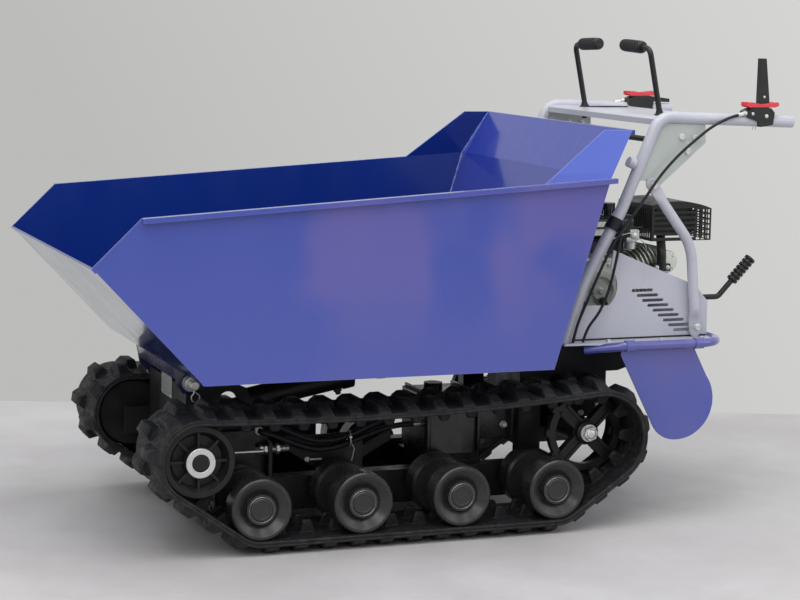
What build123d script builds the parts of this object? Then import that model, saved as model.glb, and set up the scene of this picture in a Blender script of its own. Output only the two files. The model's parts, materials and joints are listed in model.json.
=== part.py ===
from build123d import *
import math
import os

os.makedirs("parts", exist_ok=True)

# Site dumper, a walk-behind tracked mini dumper with a hydraulic tipping skip.
# Millimetres. +X runs forward to the skip's lip, +Y to the machine's left, +Z up,
# with the origin on the ground under the middle of the bounding box.

# Skip
SHEET = 3.0
SKIP_HALF = 390.0
LIP_X, LIP_Z = 771.0, 580.5
KINK_X, KINK_Z = 676.0, 672.0
FLOOR_Z = 348.5
FLOOR_FRONT_X, FLOOR_REAR_X = 554.5, -177.0
CREASE_X, CREASE_Z = -292.0, 734.0
WING_FRONT_X = -148.0
WING_TOP_X, CREST_X, CREST_Z = -284.0, -347.0, 830.0
CREST_HALF = 369.0
RIM_OUT, RIM_TALL = 12.0, 10.0

# Tipping hinge and cylinder
HINGE_X, HINGE_Z = 518.0, 314.0
BARREL_X, BARREL_Z = 400.0, 235.0
EYE_X, EYE_Z = 60.0, 300.0
PIN_R = 9.0

# Running gear
TRACK_IN, TRACK_OUT = 183.0, 363.0
BELT, LUG = 13.0, 16.0
LUG_PITCH, SHOE_HEAD = 60.0, 19.0
IDLER_X, IDLER_Z, IDLER_R = 551.0, 192.0, 73.0
SPROCKET_X, SPROCKET_Z, SPROCKET_R = -307.0, 192.0, 90.0
ROLLER_X = (426.8, 215.3, 3.8, -207.7)
ROLLER_R = 62.0
ROLLER_Z = BELT + LUG + ROLLER_R
TOP_SAG = 14.0
GUIDE_TALL, GUIDE_GAP, GUIDE_WIDE = 24.0, 19.0, 12.0
GUIDE_FOOT, GUIDE_HEAD = 34.0, 16.0
TRACK_MID = (TRACK_IN + TRACK_OUT) / 2

# Chassis and deck
RAIL_Y, RAIL_WIDE, RAIL_TALL, RAIL_TOP = 155.0, 40.0, 70.0, 114.0
RAIL_MID, RAIL_FRONT_X = RAIL_TOP - RAIL_TALL / 2, 470.0
FORK_Y, FORK_THICK = 160.0, 16.0
DECK_Z, DECK_FRONT_X, DECK_REAR_X, DECK_HALF = 384.0, -240.0, -592.0, 319.0
GUARD_Y = 260.5
TOWER_HALF = 145.0
TOWER_FRONT_X, TOWER_REAR_X = 524.0, 396.0

# Handles
HANDLE_Y = 276.0
HANDLE_R, HANDLE_BORE_R = 12.5, 10.5
HANDLE_PATH = ((-772.8, 840.0), (-456.0, 851.0), (-374.0, 658.0), (-291.0, 505.0), (-246.0, 366.0))
HANDLE_BENDS = (40.0, 200.0, 160.0)
CONSOLE_FRONT_X, CONSOLE_REAR_X, CONSOLE_Z = -438.0, -655.0, 850.0


def side(y):
    """Upright plane at y, its sketches in (x, z) and extruded towards -Y."""
    return Plane.XZ.offset(-y)


def tangent_points(a, b, above):
    """Outer tangent of circles (x, z, r); above +1 takes the left one on the way from a to b."""
    dx, dz = b[0] - a[0], b[1] - a[1]
    turn = math.atan2(dz, dx) + above * math.acos((a[2] - b[2]) / math.hypot(dx, dz))
    nx, nz = math.cos(turn), math.sin(turn)
    return (a[0] + a[2] * nx, a[1] + a[2] * nz), (b[0] + b[2] * nx, b[1] + b[2] * nz)


def on_circle(c, p, q):
    """A point half way round circle c between points p and q on it."""
    mx, mz = (p[0] + q[0]) / 2 - c[0], (p[1] + q[1]) / 2 - c[1]
    grow = c[2] / math.hypot(mx, mz)
    return c[0] + mx * grow, c[1] + mz * grow


def track_line():
    """The belt's inner face as a closed line in (x, z) round idler, rollers and sprocket."""
    idler = (IDLER_X, IDLER_Z, IDLER_R)
    front = (ROLLER_X[0], ROLLER_Z, ROLLER_R)
    rear = (ROLLER_X[-1], ROLLER_Z, ROLLER_R)
    sprocket = (SPROCKET_X, SPROCKET_Z, SPROCKET_R)
    top_s, top_i = tangent_points(sprocket, idler, 1)
    nose_i, nose_f = tangent_points(idler, front, 1)
    low_f, low_r = tangent_points(front, rear, 1)
    heel_r, heel_s = tangent_points(rear, sprocket, 1)
    with BuildLine() as line:
        ThreePointArc(top_s, ((top_s[0] + top_i[0]) / 2, (top_s[1] + top_i[1]) / 2 - TOP_SAG), top_i)
        ThreePointArc(top_i, on_circle(idler, top_i, nose_i), nose_i)
        Line(nose_i, nose_f)
        ThreePointArc(nose_f, on_circle(front, nose_f, low_f), low_f)
        Line(low_f, low_r)
        ThreePointArc(low_r, on_circle(rear, low_r, heel_r), heel_r)
        Line(heel_r, heel_s)
        ThreePointArc(heel_s, (SPROCKET_X - SPROCKET_R, SPROCKET_Z), top_s)
    return line.wire()


def off_belt(wire, along, out, ahead=0.0):
    """The point (x, z) at distance out off the belt's inner face, ahead of a place along it."""
    at, way = wire.position_at(along % 1.0), wire.tangent_at(along % 1.0)
    return at.X + way.X * ahead - way.Y * out, at.Y + way.Y * ahead + way.X * out


def belt_outline(wire, links, phase):
    """The belt's outer outline in (x, z): on every link a shoe, then a flat as long as its foot."""
    corners = []
    for link in range(links):
        middle, quarter = (link + phase) / links, 0.25 / links
        corners += [
            off_belt(wire, middle - quarter, BELT),
            off_belt(wire, middle, BELT + LUG, -SHOE_HEAD / 2),
            off_belt(wire, middle, BELT + LUG, SHOE_HEAD / 2),
            off_belt(wire, middle + quarter, BELT),
        ]
    return corners


def guide_outline(wire, along):
    """A guide tooth in (x, z), its foot sunk into the belt's inner face."""
    return [
        off_belt(wire, along, 1, -GUIDE_FOOT / 2), off_belt(wire, along, 1, GUIDE_FOOT / 2),
        off_belt(wire, along, -GUIDE_TALL, GUIDE_HEAD / 2), off_belt(wire, along, -GUIDE_TALL, -GUIDE_HEAD / 2),
    ]


def turned(x, z, profile):
    """A round piece on the cross axis through (x, z), turned from its (y, radius) profile."""
    with BuildPart() as blank:
        with BuildSketch(Plane(origin=(x, 0, z), x_dir=(0, 1, 0), z_dir=(1, 0, 0))):
            with BuildLine():
                Polyline(*profile, close=True)
            make_face()
        revolve(axis=Axis((x, 0, z), (0, 1, 0)))
    return blank.part


def bent_rod(path, radius, bend, bore=0.0):
    """A round rod, or a tube of that bore radius, along path with its corners bent."""
    start = Vector(*path[1]) - Vector(*path[0])
    with BuildPart() as rod:
        with BuildLine():
            FilletPolyline(*path, radius=bend)
        with BuildSketch(Plane(path[0], x_dir=start.cross(Vector(0, 0.3, 1)), z_dir=start)):
            Circle(radius)
            if bore:
                Circle(bore, mode=Mode.SUBTRACT)
        sweep()
    return rod.part


def cord(path, radius):
    """A cable or hose along path: straight runs joined by the widest tangent arcs."""
    points = [Vector(*p) for p in path]
    bends = []
    for before, corner, after in zip(points, points[1:], points[2:]):
        turn = math.radians((corner - before).get_angle(after - corner))
        bends.append(0.45 * min((corner - before).length, (after - corner).length) / math.tan(turn / 2))
    return bent_rod(path, radius, bends)


def mirrored(piece):
    """The piece and its twin across the machine's middle plane, in one node."""
    with BuildPart() as both:
        add(piece.part)
        mirror(about=Plane.XZ)
    return both


# Skip: one folded sheet for chute, floor and back, two side plates, leaning wings
FRONT_FACE = ((LIP_X, LIP_Z), (FLOOR_FRONT_X, FLOOR_Z), (FLOOR_REAR_X, FLOOR_Z), (CREASE_X, CREASE_Z))
crease_plane = Plane(
    origin=(CREASE_X, 0, CREASE_Z),
    x_dir=(KINK_X - CREASE_X, 0, KINK_Z - CREASE_Z),
    z_dir=(CREASE_Z - KINK_Z, 0, KINK_X - CREASE_X),
)
WING_LONG = 144.5
with BuildPart() as skip:
    with BuildSketch(side(SKIP_HALF)) as tub_side:
        with BuildLine():
            Polyline(*FRONT_FACE, (KINK_X, CREASE_Z), close=True)
        make_face()
    extrude(amount=2 * SKIP_HALF)
    with BuildSketch(side(SKIP_HALF - SHEET)):
        with BuildLine():
            Polyline(
                (LIP_X + 60, LIP_Z + 60 + SHEET * 1.4),
                (FLOOR_FRONT_X - SHEET * 0.43, FLOOR_Z + SHEET),
                (FLOOR_REAR_X + SHEET * 0.74, FLOOR_Z + SHEET),
                (CREASE_X + SHEET * 1.05, CREASE_Z),
                (CREASE_X + SHEET * 1.05, CREASE_Z + 60),
                (LIP_X + 60, CREASE_Z + 60),
                close=True,
            )
        make_face()
    extrude(amount=2 * (SKIP_HALF - SHEET), mode=Mode.SUBTRACT)
    with BuildSketch(side(SKIP_HALF + 1)):
        with BuildLine():
            Polyline((LIP_X, LIP_Z), (KINK_X, KINK_Z), (CREASE_X, CREASE_Z), (CREASE_X, CREASE_Z + 60),
                     (LIP_X + 60, CREASE_Z + 60), (LIP_X + 60, LIP_Z), close=True)
        make_face()
    extrude(amount=2 * SKIP_HALF + 2, mode=Mode.SUBTRACT)
    # wings and the leaning top of the back plate, standing on the sloping side tops
    with BuildSketch(crease_plane):
        with Locations((WING_LONG / 2, 0)):
            Rectangle(WING_LONG, 2 * SKIP_HALF)
    with BuildSketch(Plane.XY.offset(CREST_Z)):
        with Locations(((CREST_X + WING_TOP_X) / 2, 0)):
            Rectangle(WING_TOP_X - CREST_X, 2 * CREST_HALF)
    loft()
    with BuildSketch(crease_plane):
        with Locations((SHEET * 1.15 + WING_LONG, 0)):
            Rectangle(2 * WING_LONG, 2 * (SKIP_HALF - SHEET))
    with BuildSketch(Plane.XY.offset(CREST_Z)):
        with Locations((CREST_X + SHEET * 1.15 + WING_LONG, 0)):
            Rectangle(2 * WING_LONG, 2 * (CREST_HALF - SHEET))
    loft(mode=Mode.SUBTRACT)
    # folded rims along the side tops and the lip
    for edge_y in (SKIP_HALF + RIM_OUT, -SKIP_HALF + 1):
        with BuildSketch(side(edge_y)):
            with BuildLine():
                Polyline((KINK_X, KINK_Z), (CREASE_X - 10, CREASE_Z + 0.6),
                         (CREASE_X - 10, CREASE_Z + 0.6 - RIM_TALL), (KINK_X, KINK_Z - RIM_TALL), close=True)
            make_face()
        extrude(amount=RIM_OUT + 1)
    with Locations((CREST_X - 1.5, 0, CREST_Z - 5)):
        Box(9, 2 * CREST_HALF, 10)
    with BuildSketch(side(SKIP_HALF)):
        with BuildLine():
            Polyline((LIP_X - 1, LIP_Z + 1), (LIP_X - 9.2, LIP_Z - 7.7), (LIP_X - 6, LIP_Z - 10.8),
                     (LIP_X + 2, LIP_Z - 2), close=True)
        make_face()
    extrude(amount=2 * SKIP_HALF)

# Skip's hinge bracket: a folded cross plate and two ears on the tower's outside
EAR_IN, EAR_THICK = TOWER_HALF + 1.0, 8.0
with BuildPart() as hinge_bracket:
    with BuildSketch(side(EAR_IN + EAR_THICK)):
        with BuildLine():
            Polyline((FLOOR_FRONT_X - 2, FLOOR_Z), (450, FLOOR_Z), (490, 300), (502, 292), (532, 292),
                     (545, 310), close=True)
        make_face()
        with Locations((HINGE_X, HINGE_Z)):
            Circle(PIN_R + 0.05, mode=Mode.SUBTRACT)
    extrude(amount=EAR_THICK)
    mirror(about=Plane.XZ)
    with BuildSketch(side(EAR_IN)):
        with BuildLine():
            Polyline((FLOOR_FRONT_X - 2, FLOOR_Z), (FLOOR_FRONT_X - 8, FLOOR_Z), (541, 322), (546, 320),
                     close=True)
        make_face()
    extrude(amount=2 * EAR_IN)

# Rails, cross members and the cylinder's clevis, welded under the skip's floor
UNDER_RAIL_TALL, EAR_GAP = 24.0, 16.0
with BuildPart() as skip_underframe:
    with Locations((145, 150, FLOOR_Z - UNDER_RAIL_TALL / 2), (145, -150, FLOOR_Z - UNDER_RAIL_TALL / 2)):
        Box(590, 40, UNDER_RAIL_TALL)
    with Locations((EYE_X, 0, FLOOR_Z - 8), (-120, 0, FLOOR_Z - 8), (300, 0, FLOOR_Z - 8)):
        Box(60, 300, 16)
    for ear_y in (EAR_GAP + 8, -EAR_GAP):
        with BuildSketch(side(ear_y)):
            with BuildLine():
                Polyline((EYE_X - 34, FLOOR_Z - 8), (EYE_X - 18, EYE_Z - 12), (EYE_X - 9, EYE_Z - 20),
                         (EYE_X + 9, EYE_Z - 20), (EYE_X + 18, EYE_Z - 12), (EYE_X + 34, FLOOR_Z - 8), close=True)
            make_face()
            with Locations((EYE_X, EYE_Z)):
                Circle(PIN_R, mode=Mode.SUBTRACT)
        extrude(amount=8)

# Tipping cylinder
ROD_TO_EYE = math.hypot(BARREL_X - EYE_X, EYE_Z - BARREL_Z)
CYL_TILT = math.degrees(math.atan2(EYE_Z - BARREL_Z, BARREL_X - EYE_X))
cylinder_plane = Plane(
    origin=(BARREL_X, 0, BARREL_Z),
    x_dir=(0, 1, 0),
    z_dir=(EYE_X - BARREL_X, 0, EYE_Z - BARREL_Z),
)
BARREL_LONG, BARREL_R, ROD_R, EYE_R, EYE_WIDE = 262.0, 25.0, 14.0, 19.0, 24.0
with BuildPart() as cylinder_barrel:
    with BuildSketch(cylinder_plane.offset(34)):
        Circle(BARREL_R)
    extrude(amount=BARREL_LONG - 34)
    with BuildSketch(cylinder_plane.offset(BARREL_LONG)):
        Circle(BARREL_R + 3)
    extrude(amount=22)
    with BuildSketch(cylinder_plane.offset(40)):
        Circle(ROD_R + 0.05)
    extrude(amount=BARREL_LONG, mode=Mode.SUBTRACT)
    with BuildSketch(side(EYE_WIDE / 2)):
        with Locations((BARREL_X, BARREL_Z)):
            Circle(EYE_R)
    extrude(amount=EYE_WIDE)
    with BuildSketch(cylinder_plane.offset(10)):
        Circle(EYE_WIDE / 2 - 1)
    extrude(amount=26)
    with BuildSketch(side(EYE_WIDE)):
        with Locations((BARREL_X, BARREL_Z)):
            Circle(PIN_R + 0.05)
    extrude(amount=2 * EYE_WIDE, mode=Mode.SUBTRACT)
with BuildPart() as cylinder_rod:
    with BuildSketch(cylinder_plane.offset(ROD_TO_EYE - 300)):
        Circle(ROD_R)
    extrude(amount=300)
    with BuildSketch(side(EYE_WIDE / 2)):
        with Locations((EYE_X, EYE_Z)):
            Circle(EYE_R)
    extrude(amount=EYE_WIDE)
    with BuildSketch(side(EYE_WIDE)):
        with Locations((EYE_X, EYE_Z)):
            Circle(PIN_R + 0.05)
    extrude(amount=2 * EYE_WIDE, mode=Mode.SUBTRACT)

# Front tower: a box of plates between the tracks, with a round window in each side
with BuildPart() as front_tower:
    with BuildSketch(side(TOWER_HALF)):
        with BuildLine():
            Polyline((TOWER_FRONT_X, 60), (TOWER_FRONT_X, 326), (505, 334), (478, 334), (TOWER_REAR_X, 296),
                     (380, 250), (350, 190), (350, RAIL_TOP), (RAIL_FRONT_X, RAIL_TOP), (RAIL_FRONT_X, 60),
                     close=True)
        make_face()
        with Locations((436, 272)):
            Circle(19, mode=Mode.SUBTRACT)
        with Locations((HINGE_X, HINGE_Z)):
            Circle(PIN_R, mode=Mode.SUBTRACT)
    extrude(amount=6)
    mirror(about=Plane.XZ)
    with Locations((TOWER_FRONT_X - 3, 0, 180)):
        Box(6, 2 * TOWER_HALF, 240)
    # cylinder's clevis on the tower's floor
    for ear_y in (19, -19):
        with BuildSketch(side(ear_y + 4)):
            with BuildLine():
                Polyline((BARREL_X - 24, 161), (BARREL_X - 19, BARREL_Z + 12), (BARREL_X - 8, BARREL_Z + 18),
                         (BARREL_X + 8, BARREL_Z + 18), (BARREL_X + 19, BARREL_Z + 12), (BARREL_X + 24, 161),
                         close=True)
            make_face()
        extrude(amount=8)
    with Locations(Location((BARREL_X, 0, BARREL_Z), (90, 0, 0))):
        Cylinder(PIN_R, 56)
    with Locations((400, 0, 155)):
        Box(100, 2 * TOWER_HALF - 6, 12)

with BuildPart() as data_plate:
    with Locations((TOWER_FRONT_X + 0.75, 0, 288)):
        Box(1.5, 80, 52)
with BuildPart() as one_pin:
    with BuildSketch(side(TOWER_HALF + 48)):
        with Locations((HINGE_X, HINGE_Z)):
            Circle(PIN_R)
    extrude(amount=62)
    with BuildSketch(side(EAR_IN + EAR_THICK + 5)):
        with Locations((HINGE_X, HINGE_Z)):
            Circle(PIN_R + 8)
    extrude(amount=3)
hinge_pins = mirrored(one_pin)

# Chassis: two box rails between the tracks, cross members and the engine deck's posts
with BuildPart() as chassis:
    with Locations((115, RAIL_Y, RAIL_MID), (115, -RAIL_Y, RAIL_MID)):
        Box(710, RAIL_WIDE, RAIL_TALL)
        Box(710, RAIL_WIDE - 6, RAIL_TALL - 6, mode=Mode.SUBTRACT)
    with Locations((440, 0, RAIL_MID), (180, 0, RAIL_MID), (-60, 0, RAIL_MID)):
        Box(50, 2 * RAIL_Y - RAIL_WIDE, 50)
        Box(44, 2 * RAIL_Y - RAIL_WIDE, 44, mode=Mode.SUBTRACT)
    with Locations((-225, RAIL_Y, 246), (-225, -RAIL_Y, 246)):
        Box(50, 30, 2 * (DECK_Z - 4 - 246))
    for post_y in (RAIL_Y + 15, 15 - RAIL_Y):
        with BuildSketch(side(post_y)):
            with BuildLine():
                Polyline((-240, 300), (-240, DECK_Z - 4), (-560, DECK_Z - 4), (-560, 340), (-430, 300),
                         close=True)
            make_face()
        extrude(amount=30)
    with Locations((-500, 0, DECK_Z - 24)):
        Box(50, 2 * RAIL_Y - 30, 40)
    with Locations((-240, 0, DECK_Z - 24)):
        Box(40, 2 * RAIL_Y - 30, 40)

# Deck: narrow between the handles' feet, flaring to the mudguards
FLARE_X, NECK_HALF = -362.0, HANDLE_Y + 26
with BuildPart() as deck_plate:
    with BuildSketch(Plane.XY.offset(DECK_Z - 4)) as deck_outline:
        with BuildLine():
            Polyline((DECK_FRONT_X, NECK_HALF), (FLARE_X + 76, NECK_HALF), (FLARE_X, DECK_HALF),
                     (DECK_REAR_X, DECK_HALF), (DECK_REAR_X, -DECK_HALF), (FLARE_X, -DECK_HALF),
                     (FLARE_X + 76, -NECK_HALF), (DECK_FRONT_X, -NECK_HALF), close=True)
        make_face()
        fillet(deck_outline.vertices().group_by(Axis.X)[0], 50)
    extrude(amount=4)

BUMPER_Z, BUMPER_R = DECK_Z - 4, 9.5
BUMPER_Y, BUMPER_REAR_X = DECK_HALF + 3.1 + BUMPER_R, DECK_REAR_X - BUMPER_R
BUMPER_END = (FLARE_X + 68, 286, BUMPER_Z - 12)
bumper_tube = bent_rod([
    BUMPER_END, (FLARE_X, BUMPER_Y, BUMPER_Z), (BUMPER_REAR_X, BUMPER_Y, BUMPER_Z),
    (BUMPER_REAR_X, -BUMPER_Y, BUMPER_Z), (FLARE_X, -BUMPER_Y, BUMPER_Z),
    (BUMPER_END[0], -BUMPER_END[1], BUMPER_END[2]),
], BUMPER_R, [40, 60, 60, 40])
with BuildPart() as bumper_rail:
    add(bumper_tube)
    for tab_x in (-375, -536):
        with Locations((tab_x, DECK_HALF - 8, DECK_Z - 7), (tab_x, 8 - DECK_HALF, DECK_Z - 7)):
            Box(20, 34, 6)
        for tab_y in (BUMPER_Y, -BUMPER_Y):
            with Locations(Location((tab_x, tab_y, BUMPER_Z), (0, 90, 0))):
                Cylinder(BUMPER_R + 2.5, 20)
    with BuildSketch(Plane.XY.offset(DECK_Z - 4)):
        add(deck_outline.sketch.moved(Location((0, 0, 4 - DECK_Z))))
    extrude(amount=4, mode=Mode.SUBTRACT)

with BuildPart() as one_guard:
    with BuildSketch(side(DECK_HALF + 3)):
        with BuildLine():
            Polyline((-441, 204), (-361, DECK_Z - 26), (-361, DECK_Z - 16), (-532, DECK_Z - 16), (-563, 308))
            ThreePointArc((-563, 308), (-559, 202), (-494, 174))
            ThreePointArc((-494, 174), (-463, 182), (-441, 204))
        make_face()
    extrude(amount=3)
    with Locations((-450, DECK_HALF - 4, DECK_Z - 12)):
        Box(128, 8, 16)
mudguards = mirrored(one_guard)

# Tracks: each one belt with staggered outer shoes and twin inner guide teeth
belt_inner = track_line()
LINKS = round(belt_inner.length / LUG_PITCH)
HALF_TRACK = (TRACK_OUT - TRACK_IN) / 2
with BuildPart() as track_left:
    for near_y, phase in ((TRACK_OUT, 0.0), (TRACK_MID, 0.5)):
        with BuildSketch(side(near_y)):
            with BuildLine():
                Polyline(*belt_outline(belt_inner, LINKS, phase), close=True)
            make_face()
            with BuildLine():
                add(belt_inner)
            make_face(mode=Mode.SUBTRACT)
        extrude(amount=HALF_TRACK)
    for tooth_y in (TRACK_MID + GUIDE_GAP + GUIDE_WIDE, TRACK_MID - GUIDE_GAP):
        with BuildSketch(side(tooth_y)):
            for link in range(LINKS):
                with BuildLine():
                    Polyline(*guide_outline(belt_inner, (link + 0.5) / LINKS), close=True)
                make_face()
        extrude(amount=GUIDE_WIDE)
with BuildPart() as track_right:
    add(track_left.part)
    mirror(about=Plane.XZ, mode=Mode.REPLACE)

# Rollers, idlers and sprockets
RAIL_FACE = RAIL_Y + RAIL_WIDE / 2
DRUM_GAP = GUIDE_GAP + GUIDE_WIDE + 3
DRUM_INNER, DRUM_OUTER = TRACK_MID - DRUM_GAP, TRACK_MID + DRUM_GAP
ROLLER_FACE, ROLLER_RIM, DRUM_BEVEL = TRACK_OUT - 6, ROLLER_R - 0.2, 5.0
ROLLER_PROFILE = (
    (RAIL_FACE, 0), (RAIL_FACE, 15), (TRACK_IN + 6, 15), (TRACK_IN + 6, ROLLER_RIM - DRUM_BEVEL),
    (TRACK_IN + 6 + DRUM_BEVEL, ROLLER_RIM), (DRUM_INNER - DRUM_BEVEL, ROLLER_RIM),
    (DRUM_INNER, ROLLER_RIM - DRUM_BEVEL), (DRUM_INNER, 30), (DRUM_OUTER, 30),
    (DRUM_OUTER, ROLLER_RIM - DRUM_BEVEL), (DRUM_OUTER + DRUM_BEVEL, ROLLER_RIM),
    (ROLLER_FACE - 3, ROLLER_RIM), (ROLLER_FACE, ROLLER_RIM - 3), (ROLLER_FACE, 54), (ROLLER_FACE - 15, 31),
    (ROLLER_FACE - 4, 30), (ROLLER_FACE - 4, 21), (ROLLER_FACE - 8, 19), (ROLLER_FACE - 8, 0),
)
roller_stacks = [turned(roller_x, ROLLER_Z, ROLLER_PROFILE) for roller_x in ROLLER_X]
with BuildPart() as left_rollers:
    add(roller_stacks)
rollers = mirrored(left_rollers)

IDLER_FACE, IDLER_RIM = TRACK_OUT - 16, IDLER_R - 0.2
FORK_FACE = FORK_Y + FORK_THICK / 2
idler_stack = turned(IDLER_X, IDLER_Z, (
    (FORK_FACE, 0), (FORK_FACE, 17), (TRACK_IN + 12, 17), (TRACK_IN + 12, IDLER_RIM - DRUM_BEVEL),
    (TRACK_IN + 12 + DRUM_BEVEL, IDLER_RIM), (DRUM_INNER, IDLER_RIM), (DRUM_INNER, 42), (DRUM_OUTER, 42),
    (DRUM_OUTER, IDLER_RIM), (IDLER_FACE - 3, IDLER_RIM), (IDLER_FACE, IDLER_RIM - 3), (IDLER_FACE, 60),
    (IDLER_FACE - 22, 50), (IDLER_FACE - 22, 31), (IDLER_FACE + 8, 29), (IDLER_FACE + 8, 17),
    (IDLER_FACE + 4, 16), (IDLER_FACE + 4, 0),
))
with BuildPart() as left_idler:
    add(idler_stack)
    with BuildSketch(side(IDLER_FACE - 8)):
        with Locations((IDLER_X, IDLER_Z)):
            with PolarLocations(45, 8):
                Rectangle(36, 5)
    extrude(amount=20)
idlers = mirrored(left_idler)

SPROCKET_TEETH, SPROCKET_Y, SPOKE_WIDE = 10, TRACK_MID - 8, 26.0
sprocket_hub = turned(SPROCKET_X, SPROCKET_Z, (
    (SPROCKET_Y - 20, 0), (SPROCKET_Y - 20, 24), (SPROCKET_Y + 20, 24), (SPROCKET_Y + 24, 18),
    (SPROCKET_Y + 26, 18), (SPROCKET_Y + 26, 10), (SPROCKET_Y + 38, 10), (SPROCKET_Y + 38, 0),
))
with BuildPart() as left_sprocket:
    with BuildSketch(side(SPROCKET_Y + 8)):
        with Locations((SPROCKET_X, SPROCKET_Z)):
            with PolarLocations(76, SPROCKET_TEETH):
                RectangleRounded(27, 17, 4)
            Circle(83)
            Circle(68, mode=Mode.SUBTRACT)
            Circle(28)
            with PolarLocations(48, 4, start_angle=45):
                Rectangle(46, SPOKE_WIDE)
    extrude(amount=16)
    with BuildSketch(side(SPROCKET_Y + 12)):
        with Locations((SPROCKET_X, SPROCKET_Z)):
            with PolarLocations(46, 4, start_angle=45):
                with Locations((0, SPOKE_WIDE / 2 - 3), (0, 3 - SPOKE_WIDE / 2)):
                    Rectangle(50, 6)
    extrude(amount=5)
    add(sprocket_hub)
sprockets = mirrored(left_sprocket)

# The idler's sliding fork, its guide on the rail, the screw and its bracket
with BuildPart() as left_fork:
    with Locations((480, FORK_Y, IDLER_Z - 8)):
        Box(190, FORK_THICK, 56)
    with Locations((425, FORK_Y, (RAIL_TOP + 156) / 2)):
        Box(60, FORK_THICK, 156 - RAIL_TOP)
idler_forks = mirrored(left_fork)
with BuildPart() as left_tensioner:
    with Locations(Location((349, FORK_Y, 170), (0, 90, 0))):
        Cylinder(6, 72)
    with Locations((353, FORK_Y, (RAIL_TOP + 186) / 2)):
        Box(8, 26, 186 - RAIL_TOP)
tensioners = mirrored(left_tensioner)

axle_tube = turned(SPROCKET_X, SPROCKET_Z, (
    (20 - SPROCKET_Y, 0), (20 - SPROCKET_Y, 28), (SPROCKET_Y - 20, 28), (SPROCKET_Y - 20, 0),
))
with BuildPart() as drive_axle:
    add(axle_tube)
    with Locations((SPROCKET_X, 0, SPROCKET_Z + 20)):
        Box(150, 150, 160)

# Hydraulic tank and valve block between flanges that stand on the left rail
TANK_LOW, TANK_HIGH = 140.0, 262.0
with BuildPart() as hydraulic_tank:
    with Locations((-46, 96, (TANK_LOW + TANK_HIGH) / 2)):
        Box(116, 152, TANK_HIGH - TANK_LOW)
    fillet(hydraulic_tank.edges().filter_by(Axis.Z), 10)
    for flange_x in (0, -106):
        with Locations((flange_x, 96, (RAIL_TOP + TANK_HIGH + 6) / 2)):
            Box(5, 156, TANK_HIGH + 6 - RAIL_TOP)
    with Locations((-153, 82, 208)):
        Box(89, 110, 96)
    with Locations(Location((-46, 60, TANK_HIGH + 6))):
        Cylinder(20, 12)

# Engine, on the deck: crankcase, finned cylinder leaning back, cowls, tank and exhaust
CRANK_X, CRANK_Z, CYL_LEAN, CYL_Y = -390.0, 455.0, 20.0, 58.0
COVER_X, COVER_Z = -386.0, 474.0
FINS, FIN_PITCH, FIN_R = 10, 9.5, 54.0
cylinder_axis = Plane(
    origin=(CRANK_X, CYL_Y, CRANK_Z),
    x_dir=(0, 1, 0),
    z_dir=(-math.cos(math.radians(CYL_LEAN)), 0, math.sin(math.radians(CYL_LEAN))),
)
with BuildPart() as engine_block:
    with Locations((CRANK_X, 50, (DECK_Z + 540) / 2)):
        Box(150, 170, 540 - DECK_Z)
    fillet(engine_block.edges().filter_by(Axis.Y), 22)
    # round side cover with a ring of screw bosses and its shaft's cap
    with BuildSketch(side(159)):
        with Locations((COVER_X, COVER_Z)):
            Circle(58)
            with PolarLocations(58, 8, start_angle=22.5):
                Circle(9)
    extrude(amount=26)
    with BuildSketch(side(168)):
        with Locations((COVER_X, COVER_Z)):
            Circle(44)
            Circle(30, mode=Mode.SUBTRACT)
            Circle(19)
    extrude(amount=10)
    # finned barrel and head
    with BuildSketch(cylinder_axis.offset(60)):
        Circle(38)
    extrude(amount=120)
    for fin in range(FINS):
        with BuildSketch(cylinder_axis.offset(84 + FIN_PITCH * fin)):
            RectangleRounded(2 * FIN_R, 2 * FIN_R - 6, 34)
        extrude(amount=3)
    with BuildSketch(cylinder_axis.offset(178)):
        RectangleRounded(92, 78, 14)
    extrude(amount=16)
    with BuildSketch(cylinder_axis.offset(194)):
        Circle(28)
    extrude(amount=10, taper=20)
with BuildPart() as recoil_starter:
    with BuildSketch(side(-36)):
        with Locations((CRANK_X, CRANK_Z + 10)):
            Circle(80)
    extrude(amount=56, taper=8)
    with BuildSketch(side(-92)):
        with Locations((CRANK_X, CRANK_Z + 10)):
            Circle(40)
    extrude(amount=14, taper=12)
    with BuildSketch(side(-84)):
        with Locations((CRANK_X, CRANK_Z + 10)):
            with PolarLocations(56, 12):
                SlotOverall(24, 6)
    extrude(amount=10, mode=Mode.SUBTRACT)
with BuildPart() as fuel_tank:
    with Locations((-415, 12, 603)):
        Box(170, 190, 52)
    fillet(fuel_tank.edges(), 14)
    with Locations((-415, 12, 603)):
        Box(186, 206, 4)
    with Locations((-439, 82, 636)):
        Cylinder(9, 20)
    with Locations((-439, 82, 648)):
        Cylinder(16, 14)
with BuildPart() as air_filter:
    with Locations((-388, 82, 561)):
        Box(84, 62, 26)
    fillet(air_filter.edges().filter_by(Axis.Z), 12)
    with Locations((-452, 78, 560)):
        Box(44, 34, 30)
PIPE_R = 10.0
exhaust_pipe = bent_rod([(-549, 130, 512), (-549, 130, 548), (-562, 98, 576), (-564, 94, 596)], PIPE_R, 14)
with BuildPart() as muffler:
    with Locations((-590, 38, 614)):
        Box(104, 136, 64)
    fillet(muffler.edges().filter_by(Axis.Y), 24)
    add(exhaust_pipe)
    with Locations((-549, 123.6, 516)):
        Box(40, 23, 16)

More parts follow.
